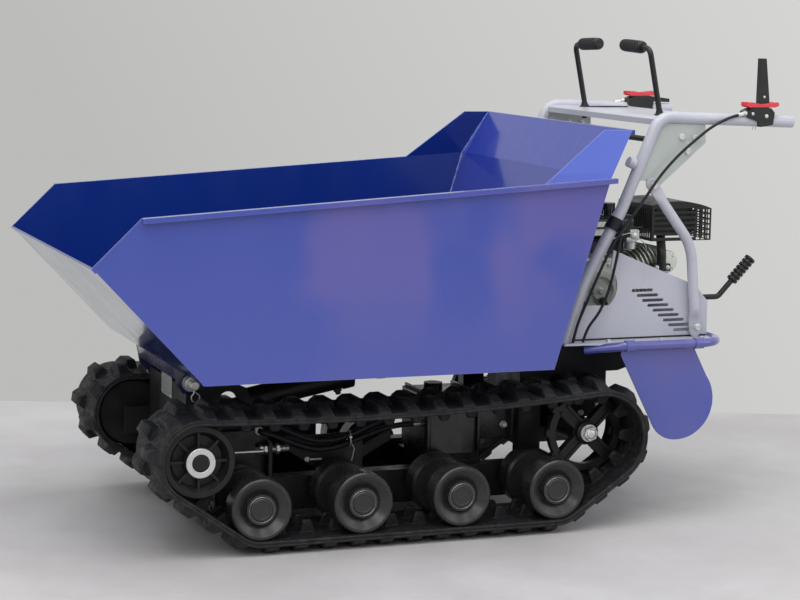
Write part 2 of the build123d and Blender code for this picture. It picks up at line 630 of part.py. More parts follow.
CAGE_FRONT_X, CAGE_REAR_X, CAGE_LEFT_Y, CAGE_WIDE, CAGE_SHEET = -528.0, -674.0, 120.0, 164.0, 1.6
with BuildPart() as muffler_cage:
    with BuildSketch(side(CAGE_LEFT_Y)):
        with BuildLine():
            Polyline((CAGE_FRONT_X, 650), (CAGE_FRONT_X, 572), (CAGE_REAR_X, 572), (CAGE_REAR_X, 642))
            ThreePointArc((CAGE_REAR_X, 642), (-601, 658), (CAGE_FRONT_X, 650))
        make_face()
    extrude(amount=CAGE_WIDE)
    offset(amount=-CAGE_SHEET, openings=muffler_cage.faces().sort_by(Axis.Z)[0])
    # louvres along both sides, upright slots in front, open squares at the rear
    with BuildSketch(side(CAGE_LEFT_Y + 1)):
        with Locations((-584, 611)):
            with GridLocations(1, 11.5, 1, 6):
                SlotOverall(100, 6)
        with Locations((-654, 607)):
            with GridLocations(12, 11.5, 3, 6):
                Rectangle(9, 8.5)
    extrude(amount=CAGE_WIDE + 2, mode=Mode.SUBTRACT)
    with BuildSketch(Plane.YZ.offset(CAGE_FRONT_X + 1)):
        with Locations((CAGE_LEFT_Y - CAGE_WIDE / 2, 610)):
            with GridLocations(10, 1, 15, 1):
                Rectangle(5, 62)
    extrude(amount=-4, mode=Mode.SUBTRACT)
    with BuildSketch(Plane.YZ.offset(CAGE_REAR_X - 1)):
        with Locations((CAGE_LEFT_Y - CAGE_WIDE / 2, 607)):
            with GridLocations(12, 11.5, 13, 6):
                Rectangle(9, 8.5)
    extrude(amount=4, mode=Mode.SUBTRACT)

# Side guards with their diagonal row of cooling slots, and the low rear guard
SLOT_LONG, SLOT_TALL, SLOTS = 50.0, 6.5, 9
SLOT_START, SLOT_STEP = (-435.5, 486.0), (-12.7, -10.9)
with BuildPart() as one_side_guard:
    with BuildSketch(side(GUARD_Y + 3)):
        with BuildLine():
            Polyline((-357, 456), (-301, 458), (-272, DECK_Z), (-592, DECK_Z), (-592, 458), (-567, 487),
                     (-549, 498), (-365, 573), (-361, 533))
            ThreePointArc((-361, 533), (-376, 494), (-357, 456))
        make_face()
        for slot in range(SLOTS):
            with Locations((SLOT_START[0] + slot * SLOT_STEP[0], SLOT_START[1] + slot * SLOT_STEP[1])):
                SlotOverall(SLOT_LONG, SLOT_TALL, mode=Mode.SUBTRACT)
    extrude(amount=3)
side_guards = mirrored(one_side_guard)
with BuildPart() as rear_guard:
    with BuildSketch(Plane.YZ.offset(DECK_REAR_X)):
        with Locations((0, DECK_Z + 36)):
            Rectangle(2 * GUARD_Y - 1, 72)
        with Locations((150, 448)):
            Rectangle(44, 28, mode=Mode.SUBTRACT)
    extrude(amount=3)

# Handles and controls
handle_tube = bent_rod([(x, HANDLE_Y, z) for x, z in HANDLE_PATH], HANDLE_R, HANDLE_BENDS, HANDLE_BORE_R)
handle_solid = bent_rod([(x, HANDLE_Y, z) for x, z in HANDLE_PATH], HANDLE_R + 0.05, HANDLE_BENDS)
BUFFER_X, BUFFER_Z, CROSS_X, CROSS_Z, CROSS_R = -412.0, 748.0, -436.0, 804.0, 6.0
with BuildPart() as one_handle:
    add(handle_tube)
    with Locations((HANDLE_PATH[-1][0], HANDLE_Y, DECK_Z - 30)):
        Box(90, 60, 60, mode=Mode.SUBTRACT)
    # buffer stub for the skip's back
    with Locations(Location((BUFFER_X + 18, HANDLE_Y, BUFFER_Z + 8), (0, 67, 0))):
        Cylinder(11, 16)
handle_tubes = mirrored(one_handle)
with BuildPart() as cross_rod:
    with Locations(Location((CROSS_X, 0, CROSS_Z), (90, 0, 0))):
        Cylinder(CROSS_R, 2 * (HANDLE_Y - HANDLE_R + 1))
    add(handle_solid, mode=Mode.SUBTRACT)
    add(mirror(handle_solid, about=Plane.XZ, mode=Mode.PRIVATE), mode=Mode.SUBTRACT)

# Console: one thin sheet between the tubes, its front edge folded down, slotted for levers
SLOT_X, SLOT_RUN = -553.0, 118.0
with BuildPart() as console:
    with BuildSketch(side(HANDLE_Y - HANDLE_R - 1)):
        with BuildLine():
            Polyline((CONSOLE_REAR_X, CONSOLE_Z - 6), (CONSOLE_REAR_X, CONSOLE_Z - 3), (-470, CONSOLE_Z),
                     (CONSOLE_FRONT_X - 12, CONSOLE_Z - 4), (CONSOLE_FRONT_X - 12, CONSOLE_Z - 16),
                     (CONSOLE_FRONT_X - 15, CONSOLE_Z - 16), (CONSOLE_FRONT_X - 15, CONSOLE_Z - 6),
                     (-470, CONSOLE_Z - 3), close=True)
        make_face()
    extrude(amount=2 * (HANDLE_Y - HANDLE_R - 1))
    with Locations((SLOT_X, TRACK_IN, CONSOLE_Z), (SLOT_X, -TRACK_IN, CONSOLE_Z)):
        Box(SLOT_RUN, 14, 20, mode=Mode.SUBTRACT)

strut_rod = bent_rod([(-456, HANDLE_Y, 695), (-541, HANDLE_Y, 580), (-551, HANDLE_Y, 470), (-560, HANDLE_Y, 396)], 11, 30)
with BuildPart() as one_strut:
    add(strut_rod)
    # flattened ends: the upper one bolted to the gusset, the lower one to the guard's corner
    with Locations(Location((-452, HANDLE_Y + 6, 700), (0, -36.5, 0))):
        Box(24, 6, 44)
    with Locations((-560, HANDLE_Y - 6, DECK_Z + 22)):
        Box(26, 5, 44)
struts = mirrored(one_strut)

# Gussets, cut to the tubes' inner corner
with BuildPart() as one_gusset:
    with BuildSketch(side(HANDLE_Y + 2)):
        with BuildLine():
            Polyline((-420, 720), (-461, 708), (-566, 797), (-563, 847), (-454, 850), (-398, 714), close=True)
        make_face()
    extrude(amount=4)
    add(handle_solid, mode=Mode.SUBTRACT)
gussets = mirrored(one_gusset)

LEVER_X, LEVER_TOP = -505.0, 990.0
tall_rod = bent_rod(
    [(LEVER_X, TRACK_IN, CONSOLE_Z - 26), (LEVER_X, TRACK_IN, CONSOLE_Z + 4), (LEVER_X + 28, TRACK_IN, LEVER_TOP),
     (LEVER_X + 28, TRACK_IN - 36, LEVER_TOP + 2)], 6, 15)
with BuildPart() as one_grip:
    with Locations(Location((LEVER_X + 28, TRACK_IN - 78, LEVER_TOP + 4), (88, 0, 0))):
        Cylinder(13, 90)
    fillet(one_grip.edges(), 5)
with BuildPart() as one_tall_lever:
    add(tall_rod)
    add(one_grip.part)
tall_levers = mirrored(one_tall_lever)

# Clutch levers: a clamp round each tube, a red lock on it and the blade; the left one stands up
with BuildPart() as one_clamp:
    with BuildSketch(side(HANDLE_Y + 17)):
        with BuildLine():
            Polyline((-656, 850), (-656, 863), (-673, 871), (-712, 870), (-721, 860), (-717, 834), (-686, 830),
                     (-680, 842), (-664, 848), close=True)
        make_face()
    extrude(amount=34)
    fillet(one_clamp.edges().filter_by(Axis.Y), 3)
    add(handle_solid, mode=Mode.SUBTRACT)
with BuildPart() as clutch_levers:
    add(one_clamp.part)
    mirror(about=Plane.XZ)
    with BuildSketch(side(HANDLE_Y + 7)):
        with BuildLine():
            Polyline((-688, 868), (-713, 868), (-712, 890), (-702, 974), (-689, 974), (-688, 890), close=True)
        make_face()
    extrude(amount=14)
    with BuildSketch(side(-HANDLE_Y + 6)):
        with BuildLine():
            Polyline((-705, 872), (-705, 858), (-768, 856), (-768, 864), close=True)
        make_face()
    extrude(amount=12)
with BuildPart() as lever_locks:
    for lock_y in (HANDLE_Y, -HANDLE_Y):
        for flank_y in (lock_y + 14, lock_y - 8):
            with BuildSketch(side(flank_y)):
                with BuildLine():
                    Polyline((-656, 874), (-662, 871.3), (-724, 871.3), (-733, 875), (-731, 882), (-716, 881),
                             (-690, 878), (-670, 882), (-656, 882), close=True)
                make_face()
            extrude(amount=6)
        with Locations((-726, lock_y, 877), (-664, lock_y, 877)):
            Box(10, 28, 6)

GEAR_Y, GEAR_RISE = 150.0, (-46.0, 48.0)
gear_rod = bent_rod([(-556, GEAR_Y, 450), (-680, GEAR_Y, 450), (-716, GEAR_Y, 488)], 6, 15)
grip_plane = Plane(origin=(-712, GEAR_Y, 484), x_dir=(0, 1, 0), z_dir=(GEAR_RISE[0], 0, GEAR_RISE[1]))
with BuildPart() as gear_lever:
    add(gear_rod)
    with BuildSketch(grip_plane):
        Circle(8.5)
    extrude(amount=66)
    for ring in range(7):
        with BuildSketch(grip_plane.offset(2 + 10 * ring)):
            Circle(12.5)
        extrude(amount=5)

# Cables, clipped from the levers down the handles into the deck, and the tipping hoses
CABLE_R, HOSE_R = 3.0, 6.0
lever_cable = cord([
    (-654.4, 286, 858), (-620, 292, 853), (-570, 294, 832), (-498, 294, 777), (-453, 294, 731), (-409, 294, 669),
    (-353, 294, 598), (-321, 294, 536), (-290, 294, 465), (-272, 294, 425), (-262, 294, 385.2),
], CABLE_R)
throttle_cable = cord([
    (-371, 287, 628), (-366, 290, 590), (-356, 293, 548), (-343, 293, 492), (-322, 293, 446), (-298, 290, 416),
    (-288, 288, 385.2),
], CABLE_R)
with BuildPart() as cables:
    add(lever_cable)
    mirror(about=Plane.XZ)
    add(throttle_cable)
    # clip on the left tube
    with Locations(Location((-358, HANDLE_Y, 629), (0, 151.5, 0))):
        Cylinder(16.5, 26)
    add(handle_solid, mode=Mode.SUBTRACT)
hose_outer = cord([
    (378, TOWER_HALF + 0.2, 232), (378, 169, 232), (342, 175, 221), (302, 175, 201), (262, 175, 185),
    (215, 175, 184), (170, 173, 197), (125, 165, 213), (80, 150, 224), (42, 141, 226), (12.3, 141, 226),
], HOSE_R)
hose_inner = cord([
    (372, TOWER_HALF + 0.2, 208), (372, 163, 208), (336, 168, 196), (295, 168, 177), (252, 168, 164),
    (206, 165, 167), (160, 160, 181), (115, 150, 193), (75, 138, 199), (42, 131, 200), (12.3, 131, 200),
], HOSE_R)
with BuildPart() as hoses:
    add(hose_outer)
    add(hose_inner)

pieces = {
    "skip": skip, "hinge_bracket": hinge_bracket, "skip_underframe": skip_underframe,
    "cylinder_barrel": cylinder_barrel, "cylinder_rod": cylinder_rod, "front_tower": front_tower,
    "data_plate": data_plate, "hinge_pins": hinge_pins, "chassis": chassis, "deck_plate": deck_plate,
    "bumper_rail": bumper_rail, "mudguards": mudguards, "track_left": track_left, "track_right": track_right,
    "rollers": rollers, "idlers": idlers, "sprockets": sprockets, "idler_forks": idler_forks,
    "tensioners": tensioners, "drive_axle": drive_axle, "hydraulic_tank": hydraulic_tank,
    "engine_block": engine_block, "recoil_starter": recoil_starter, "fuel_tank": fuel_tank,
    "air_filter": air_filter, "muffler": muffler, "muffler_cage": muffler_cage, "side_guards": side_guards,
    "rear_guard": rear_guard, "handle_tubes": handle_tubes, "console": console, "struts": struts,
    "gussets": gussets, "tall_levers": tall_levers, "clutch_levers": clutch_levers, "gear_lever": gear_lever,
    "cross_rod": cross_rod, "lever_locks": lever_locks, "cables": cables, "hoses": hoses,
}
for label, piece in pieces.items():
    piece.part.label = label
    export_step(piece.part, f"parts/{label}.step")
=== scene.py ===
import bisect
import json
import math

import bmesh
import bpy
from mathutils import Matrix, Vector


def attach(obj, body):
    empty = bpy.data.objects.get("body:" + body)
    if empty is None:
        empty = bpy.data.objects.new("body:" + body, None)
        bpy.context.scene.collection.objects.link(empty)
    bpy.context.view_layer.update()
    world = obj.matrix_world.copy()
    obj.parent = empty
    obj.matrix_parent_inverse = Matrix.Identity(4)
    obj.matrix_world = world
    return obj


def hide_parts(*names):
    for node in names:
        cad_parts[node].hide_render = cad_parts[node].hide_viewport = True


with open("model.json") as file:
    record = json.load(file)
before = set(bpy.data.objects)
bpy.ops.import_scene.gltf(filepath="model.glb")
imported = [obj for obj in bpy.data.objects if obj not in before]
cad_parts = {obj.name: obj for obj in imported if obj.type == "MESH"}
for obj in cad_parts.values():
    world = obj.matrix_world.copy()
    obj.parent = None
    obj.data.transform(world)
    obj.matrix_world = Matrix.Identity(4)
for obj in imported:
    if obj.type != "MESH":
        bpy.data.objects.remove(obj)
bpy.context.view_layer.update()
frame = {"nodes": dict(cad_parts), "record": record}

# Metres, in the part's frame: +X to the skip's lip, +Y to the machine's left, +Z up.
MM = 0.001

# Camera, fitted to the photograph's view
CAMERA_PLACE = Vector((1.6674, 4.3146, 1.0744))
CAMERA_YAW, CAMERA_PITCH, CAMERA_ROLL = 0.36677, 0.13538, 0.017115
FOCAL_PX, IMAGE_WIDE, SENSOR_WIDE = 2170.2, 800, 36.0

# Floor: its far edge lies where the wall behind meets the ground
FLOOR_FAR, FLOOR_NEAR, FLOOR_HALF = 1.12, 9.0, 9.0

# Top of the tall levers' grips in metres, which nothing added passes
GRIP_TOP = 1.0083

# Backdrop: its tone from the dim side to the bright one
BACKDROP_SLOPE, BACKDROP_TONE = (-0.25, 0.25), (0.50, 0.72)


class Finish:
    """One material and a short way to write its nodes."""

    def __init__(self, name, metallic=0.0, specular=0.5, coat=0.0, coat_roughness=0.1):
        self.material = bpy.data.materials.new(name)
        self.material.use_nodes = True
        self.tree = self.material.node_tree
        self.shader = self.tree.nodes["Principled BSDF"]
        self.shader.inputs["Metallic"].default_value = metallic
        self.shader.inputs["Specular IOR Level"].default_value = specular
        self.shader.inputs["Coat Weight"].default_value = coat
        self.shader.inputs["Coat Roughness"].default_value = coat_roughness
        self.place = self.node("ShaderNodeTexCoord").outputs["Object"]
        self.geometry = self.node("ShaderNodeNewGeometry")

    def node(self, kind, **settings):
        made = self.tree.nodes.new(kind)
        for key, value in settings.items():
            setattr(made, key, value)
        return made

    def link(self, source, target):
        self.tree.links.new(source, target)

    def stretched(self, scale):
        mapping = self.node("ShaderNodeMapping")
        mapping.inputs["Scale"].default_value = scale
        self.link(self.place, mapping.inputs["Vector"])
        return mapping.outputs["Vector"]

    def noise(self, scale, detail=3.0, roughness=0.55, at=None):
        texture = self.node("ShaderNodeTexNoise")
        self.link(at or self.place, texture.inputs["Vector"])
        texture.inputs["Scale"].default_value = scale
        texture.inputs["Detail"].default_value = detail
        texture.inputs["Roughness"].default_value = roughness
        return texture.outputs["Fac"]

    def cells(self, scale, feature="F1"):
        texture = self.node("ShaderNodeTexVoronoi", feature=feature)
        self.link(self.place, texture.inputs["Vector"])
        texture.inputs["Scale"].default_value = scale
        return texture.outputs["Distance"]

    def range(self, source, low, high, to_low=0.0, to_high=1.0):
        mapped = self.node("ShaderNodeMapRange", interpolation_type="SMOOTHSTEP")
        self.link(source, mapped.inputs["Value"])
        for name, given in (("From Min", low), ("From Max", high), ("To Min", to_low), ("To Max", to_high)):
            mapped.inputs[name].default_value = given
        return mapped.outputs["Result"]

    def math(self, operation, a, b):
        made = self.node("ShaderNodeMath", operation=operation)
        for socket, given in zip(made.inputs, (a, b)):
            if hasattr(given, "node"):
                self.link(given, socket)
            else:
                socket.default_value = given
        return made.outputs["Value"]

    def mix(self, amount, a, b):
        made = self.node("ShaderNodeMix", data_type="RGBA")
        for index, given in ((0, amount), (6, a), (7, b)):
            if hasattr(given, "node"):
                self.link(given, made.inputs[index])
            elif index:
                made.inputs[index].default_value = (*given, 1.0)
            else:
                made.inputs[index].default_value = given
        return made.outputs[2]

    def upward(self, low=0.2, high=0.95):
        """How far the surface faces up, for dust that settles on it."""
        parts = self.node("ShaderNodeSeparateXYZ")
        self.link(self.geometry.outputs["Normal"], parts.inputs["Vector"])
        return self.range(parts.outputs["Z"], low, high)

    def height(self, low, high, to_low=0.0, to_high=1.0):
        """A ramp over the height above the ground."""
        parts = self.node("ShaderNodeSeparateXYZ")
        self.link(self.place, parts.inputs["Vector"])
        return self.range(parts.outputs["Z"], low, high, to_low, to_high)

    def edges(self, radius, low=0.02, high=0.25):
        """Where the surface turns a corner, for worn edges and the painted edge highlight."""
        rounded = self.node("ShaderNodeBevel", samples=4)
        rounded.inputs["Radius"].default_value = radius
        product = self.node("ShaderNodeVectorMath", operation="DOT_PRODUCT")
        self.link(rounded.outputs["Normal"], product.inputs[0])
        self.link(self.geometry.outputs["Normal"], product.inputs[1])
        return self.range(self.math("SUBTRACT", 1.0, product.outputs["Value"]), low, high)

    def colour(self, source):
        self.link(source, self.shader.inputs["Base Color"])

    def roughness(self, source):
        self.link(source, self.shader.inputs["Roughness"])

    def relief(self, layers, edge=0.0):
        """Bump from (height, distance in metres) layers over softly rounded edges."""
        normal = None
        if edge:
            rounded = self.node("ShaderNodeBevel", samples=4)
            rounded.inputs["Radius"].default_value = edge
            normal = rounded.outputs["Normal"]
        for source, distance in layers:
            bump = self.node("ShaderNodeBump")
            bump.inputs["Strength"].default_value = 1.0
            bump.inputs["Distance"].default_value = distance
            self.link(source, bump.inputs["Height"])
            if normal:
                self.link(normal, bump.inputs["Normal"])
            normal = bump.outputs["Normal"]
        self.link(normal, self.shader.inputs["Normal"])


DUST = (0.42, 0.40, 0.37)


def scaled(colour, factor):
    return tuple(factor * channel for channel in colour)


def paint(name, colour, second, patch_scale, gloss=(0.16, 0.34), dust=0.12, coat=0.5, edge=None, wear_and_highlight=0.6):
    """Powder coat: soft patches of a second tone, orange peel, dulled and dusty spots, and lighter edges that are
    partly worn paint and partly a painted highlight.
    """
    made = Finish(name, specular=0.5, coat=coat, coat_roughness=0.07)
    patches = made.range(made.noise(patch_scale, 1.5, 0.45), 0.42, 0.66)
    body = made.mix(patches, colour, second)
    grain = made.range(made.noise(900, 2), 0.3, 0.7)
    body = made.mix(made.math("MULTIPLY", grain, 0.10), body, scaled(colour, 0.6))
    settled = made.math("MULTIPLY", made.upward(), made.range(made.noise(38, 5, 0.7), 0.42, 0.72))
    body = made.mix(made.math("MULTIPLY", settled, dust), body, DUST)
    # lighter edge colour on corners: partly worn paint, partly a painted edge highlight
    if edge:
        rubbed_and_highlit = made.math("MULTIPLY", made.edges(0.0022), made.range(made.noise(22, 3), 0.25, 0.6))
        body = made.mix(made.math("MULTIPLY", rubbed_and_highlit, wear_and_highlight), body, edge)
    made.colour(body)
    smear = made.noise(14, 4, 0.6, at=made.stretched((1.0, 1.0, 0.35)))
    made.roughness(made.range(smear, 0.3, 0.75, gloss[0], gloss[1]))
    made.relief([(made.noise(420, 2), 0.00006), (made.noise(5, 1), 0.0016)], edge=0.0012)
    return made.material


def skip_paint_and_painted_light(name, outside, violet_patches, painted_shade_inside, back, painted_light_wing, edge):
    """The skip's gloss paint: violet patches outside, stronger higher up; painted shade on the inner faces; painted
    highlight on the leaning back plate and the wings; edges partly worn, partly a painted highlight.
    """
    made = Finish(name, specular=0.5, coat=0.8, coat_roughness=0.07)
    spot = made.node("ShaderNodeSeparateXYZ")
    made.link(made.place, spot.inputs["Vector"])
    facing = made.node("ShaderNodeSeparateXYZ")
    made.link(made.geometry.outputs["Normal"], facing.inputs["Vector"])
    # violet patches on the outside, stronger higher up
    clouds = made.range(made.noise(3.4, 2.5, 0.5, at=made.stretched((1.0, 1.0, 0.8))), 0.46, 0.60)
    low = made.height(0.36, 0.60, 0.25, 1.0)
    body = made.mix(made.math("MULTIPLY", clouds, low), outside, violet_patches)
    green = made.range(made.noise(2.1, 1.0, 0.4), 0.60, 0.72, 0.0, 0.35)
    body = made.mix(green, body, (0.075, 0.125, 0.330))
    apart = made.math("ABSOLUTE", spot.outputs["Y"], 0.0)
    # painted highlight: the wings' upper faces, lighter where they lean up toward the light
    painted_light_leaning = made.math("MULTIPLY", made.range(apart, 0.362, 0.366), made.range(facing.outputs["Z"], 0.08, 0.16))
    painted_light_leaning = made.math("MULTIPLY", painted_light_leaning, made.height(0.70, 0.75))
    body = made.mix(painted_light_leaning, body, painted_light_wing)
    # painted shade: the inner faces darker, with a lighter painted highlight on the back plate's inner face
    painted_shade_within = made.range(apart, 0.3872, 0.3888, 1.0, 0.0)
    painted_shade_within = made.math("MULTIPLY", painted_shade_within, made.math("SUBTRACT", 1.0, painted_light_leaning))
    rearward = made.range(spot.outputs["X"], -0.30, -0.17, 1.0, 0.0)
    toward = made.range(facing.outputs["X"], 0.4, 0.8)
    painted_shade_and_light_lining = made.mix(made.math("MULTIPLY", rearward, toward), painted_shade_inside, back)
    body = made.mix(painted_shade_within, body, painted_shade_and_light_lining)
    grain = made.range(made.noise(900, 2), 0.3, 0.7)
    body = made.mix(made.math("MULTIPLY", grain, 0.08), body, scaled(outside, 0.6))
    settled = made.math("MULTIPLY", made.upward(), made.range(made.noise(38, 5, 0.7), 0.42, 0.72))
    body = made.mix(made.math("MULTIPLY", settled, 0.08), body, DUST)
    # lighter edges: partly worn paint, partly a painted edge highlight
    rubbed_and_highlit = made.math("MULTIPLY", made.edges(0.0024), made.range(made.noise(22, 3), 0.2, 0.5))
    made.colour(made.mix(made.math("MULTIPLY", rubbed_and_highlit, 0.75), body, edge))
    smear = made.noise(14, 4, 0.6, at=made.stretched((1.0, 1.0, 0.35)))
    made.roughness(made.range(smear, 0.3, 0.75, 0.12, 0.26))
    made.relief([(made.noise(420, 2), 0.00006), (made.noise(5, 1), 0.0016)], edge=0.0012)
    return made.material


def black_paint(name, colour, gloss=(0.3, 0.5), dust=0.2, specular=0.3, worn_and_highlit=0.035):
    """Black powder coat with dust on what faces up and low down by the ground, and lighter edges that are partly wear
    and partly a painted highlight.
    """
    made = Finish(name, specular=specular)
    spread = made.range(made.noise(26, 6, 0.7), 0.4, 0.7)
    low = made.height(0.05, 0.40, 1.0, 0.25)
    settled = made.math("MULTIPLY", made.math("MULTIPLY", made.upward(-0.2, 0.9), spread), low)
    body = made.mix(made.math("MULTIPLY", settled, dust), colour, scaled(DUST, 0.4))
    # lighter edges: partly wear, partly a painted edge highlight
    rubbed_and_highlit = made.math("MULTIPLY", made.edges(0.0015), made.range(made.noise(45, 4), 0.35, 0.6))
    body = made.mix(made.math("MULTIPLY", rubbed_and_highlit, 0.7), body, (worn_and_highlit, worn_and_highlit, 1.05 * worn_and_highlit))
    made.colour(body)
    made.roughness(made.range(made.noise(30, 4), 0.3, 0.7, gloss[0], gloss[1]))
    made.relief([(made.noise(500, 2), 0.00008), (made.noise(60, 3), 0.0002)], edge=0.001)
    return made.material


def rubber(name, colour, dust=0.35, gloss=(0.45, 0.75), grain=260, specular=0.3, worn_and_highlit=0.05):
    """Moulded rubber: fine grain, dust held in the texture, and scuffed edges lightened partly by wear and partly by a
    painted highlight.
    """
    made = Finish(name, specular=specular)
    scuffs = made.range(made.noise(70, 6, 0.75), 0.45, 0.7)
    low = made.height(0.0, 0.5, 1.0, 0.45)
    settled = made.math("MULTIPLY", made.math("MULTIPLY", scuffs, low), dust)
    body = made.mix(settled, colour, scaled(DUST, 0.2))
    # lighter edges: partly wear, partly a painted edge highlight
    rubbed_and_highlit = made.math("MULTIPLY", made.edges(0.0025), made.range(made.noise(60, 5, 0.7), 0.38, 0.62))
    made.colour(made.mix(made.math("MULTIPLY", rubbed_and_highlit, 0.8), body, (worn_and_highlit, worn_and_highlit, 1.1 * worn_and_highlit)))
    made.roughness(made.range(made.noise(90, 5), 0.3, 0.7, gloss[0], gloss[1]))
    made.relief([(made.noise(grain, 5, 0.7), 0.0004), (made.noise(1400, 2), 0.0001)], edge=0.0015)
    return made.material


def bare_metal(name, colour, gloss=(0.22, 0.45), grain=(60, 60, 60), dirt=0.25):
    """Plated or cast metal with streaked grain and dull stains."""
    made = Finish(name, metallic=0.9)
    stains = made.range(made.noise(55, 6, 0.7), 0.45, 0.75)
    made.colour(made.mix(made.math("MULTIPLY", stains, dirt), colour, scaled(colour, 0.35)))
    made.roughness(made.range(made.noise(8, 5, 0.6, at=made.stretched(grain)), 0.3, 0.7, gloss[0], gloss[1]))
    made.relief([(made.noise(6, 4, 0.6, at=made.stretched(grain)), 0.0001)], edge=0.0008)
    return made.material


def plastic(name, colour, gloss=(0.3, 0.45)):
    """Moulded plastic with a fine leathered skin."""
    made = Finish(name, specular=0.5)
    tone = made.range(made.noise(40, 3), 0.35, 0.7)
    made.colour(made.mix(made.math("MULTIPLY", tone, 0.25), colour, scaled(colour, 0.7)))
    made.roughness(made.range(made.noise(120, 3), 0.3, 0.7, gloss[0], gloss[1]))
    made.relief([(made.cells(1100), 0.00008)], edge=0.001)
    return made.material


materials = {
    # the edge colours of blue_paint and grey_paint are lighter edges: partly worn paint, partly a painted edge
    # highlight
    "blue_paint": paint("blue_paint", (0.058, 0.085, 0.395), (0.105, 0.100, 0.370), 3.1, gloss=(0.12, 0.26),
                        coat=0.8, edge=(0.20, 0.28, 0.66)),
    "dark_blue_paint": paint("dark_blue_paint", (0.008, 0.011, 0.060), (0.012, 0.014, 0.065), 6.0, dust=0.1),
    "black_paint": black_paint("black_paint", (0.0105, 0.0105, 0.0120)),
    "grey_paint": paint("grey_paint", (0.520, 0.525, 0.590), (0.480, 0.485, 0.550), 9.0, gloss=(0.3, 0.5),
                        coat=0.1, edge=(0.66, 0.67, 0.72), wear_and_highlight=0.35),
    # track rubber's lighter edge colour: partly wear, partly a painted highlight
    "track_rubber": rubber("track_rubber", (0.0085, 0.0092, 0.0110), worn_and_highlit=0.07),
    "grip_rubber": rubber("grip_rubber", (0.0110, 0.0110, 0.0115), dust=0.1, grain=500),
    "hose_rubber": rubber("hose_rubber", (0.0080, 0.0095, 0.0130), dust=0.15, gloss=(0.35, 0.55), grain=700),
    "zinc": bare_metal("zinc", (0.66, 0.68, 0.66), gloss=(0.28, 0.5), dirt=0.15),
    "polished_rod": bare_metal("polished_rod", (0.61, 0.62, 0.64), gloss=(0.08, 0.2), dirt=0.1),
    "cast_alloy": bare_metal("cast_alloy", (0.66, 0.69, 0.62), gloss=(0.4, 0.65)),
    "black_steel": black_paint("black_steel", (0.0130, 0.0130, 0.0135), gloss=(0.32, 0.5), dust=0.1, specular=0.4),
    "red_plastic": plastic("red_plastic", (0.78, 0.050, 0.070)),
    "plate_silver": bare_metal("plate_silver", (0.34, 0.35, 0.36), gloss=(0.4, 0.6), grain=(40, 400, 400), dirt=0.3),
    "tank_black": black_paint("tank_black", (0.0120, 0.0122, 0.0140), gloss=(0.15, 0.3), specular=0.5),
}
# roller paint's lighter edge colour: partly wear, partly a painted highlight
rollers_finish = black_paint("roller_paint", (0.0190, 0.0190, 0.0205), gloss=(0.22, 0.36), specular=0.5, worn_and_highlit=0.06)
# finishes of single nodes and pieces, each within its slot
finishes = {
    # skip colours: outside, violet patches, painted shade inside, painted highlight on the back plate, painted
    # highlight on the wings, edge with painted highlight
    "skip": skip_paint_and_painted_light("skip_paint_and_painted_light", (0.052, 0.080, 0.400), (0.115, 0.105, 0.390), (0.0050, 0.0260, 0.2050),
                       (0.0330, 0.0560, 0.3700), (0.0850, 0.1400, 0.6000), (0.20, 0.28, 0.66)),
    # gusset edge colour: partly worn paint, partly a painted edge highlight
    "gussets": paint("gusset_paint", (0.500, 0.540, 0.510), (0.460, 0.500, 0.475), 9.0, gloss=(0.3, 0.5), coat=0.1,
                     edge=(0.66, 0.70, 0.68), wear_and_highlight=0.35),
    "tensioners": materials["black_paint"],
    "rollers": rollers_finish,
}
dark_zinc = bare_metal("dark_zinc", (0.24, 0.245, 0.25), gloss=(0.2, 0.35), dirt=0.2)
# weld beads in a lighter blue than the skip: a lit copy of the blue paint, a painted highlight
weld_highlight_finish = paint("weld_highlight_paint", (0.190, 0.230, 0.560), (0.110, 0.140, 0.480), 120.0, gloss=(0.2, 0.4), coat=0.4)

for subpart in frame["record"]["subparts"]:
    node = frame["nodes"][subpart["node"]]
    node.data.materials.clear()
    node.data.materials.append(finishes.get(subpart["node"], materials[subpart["material_slot"]]))


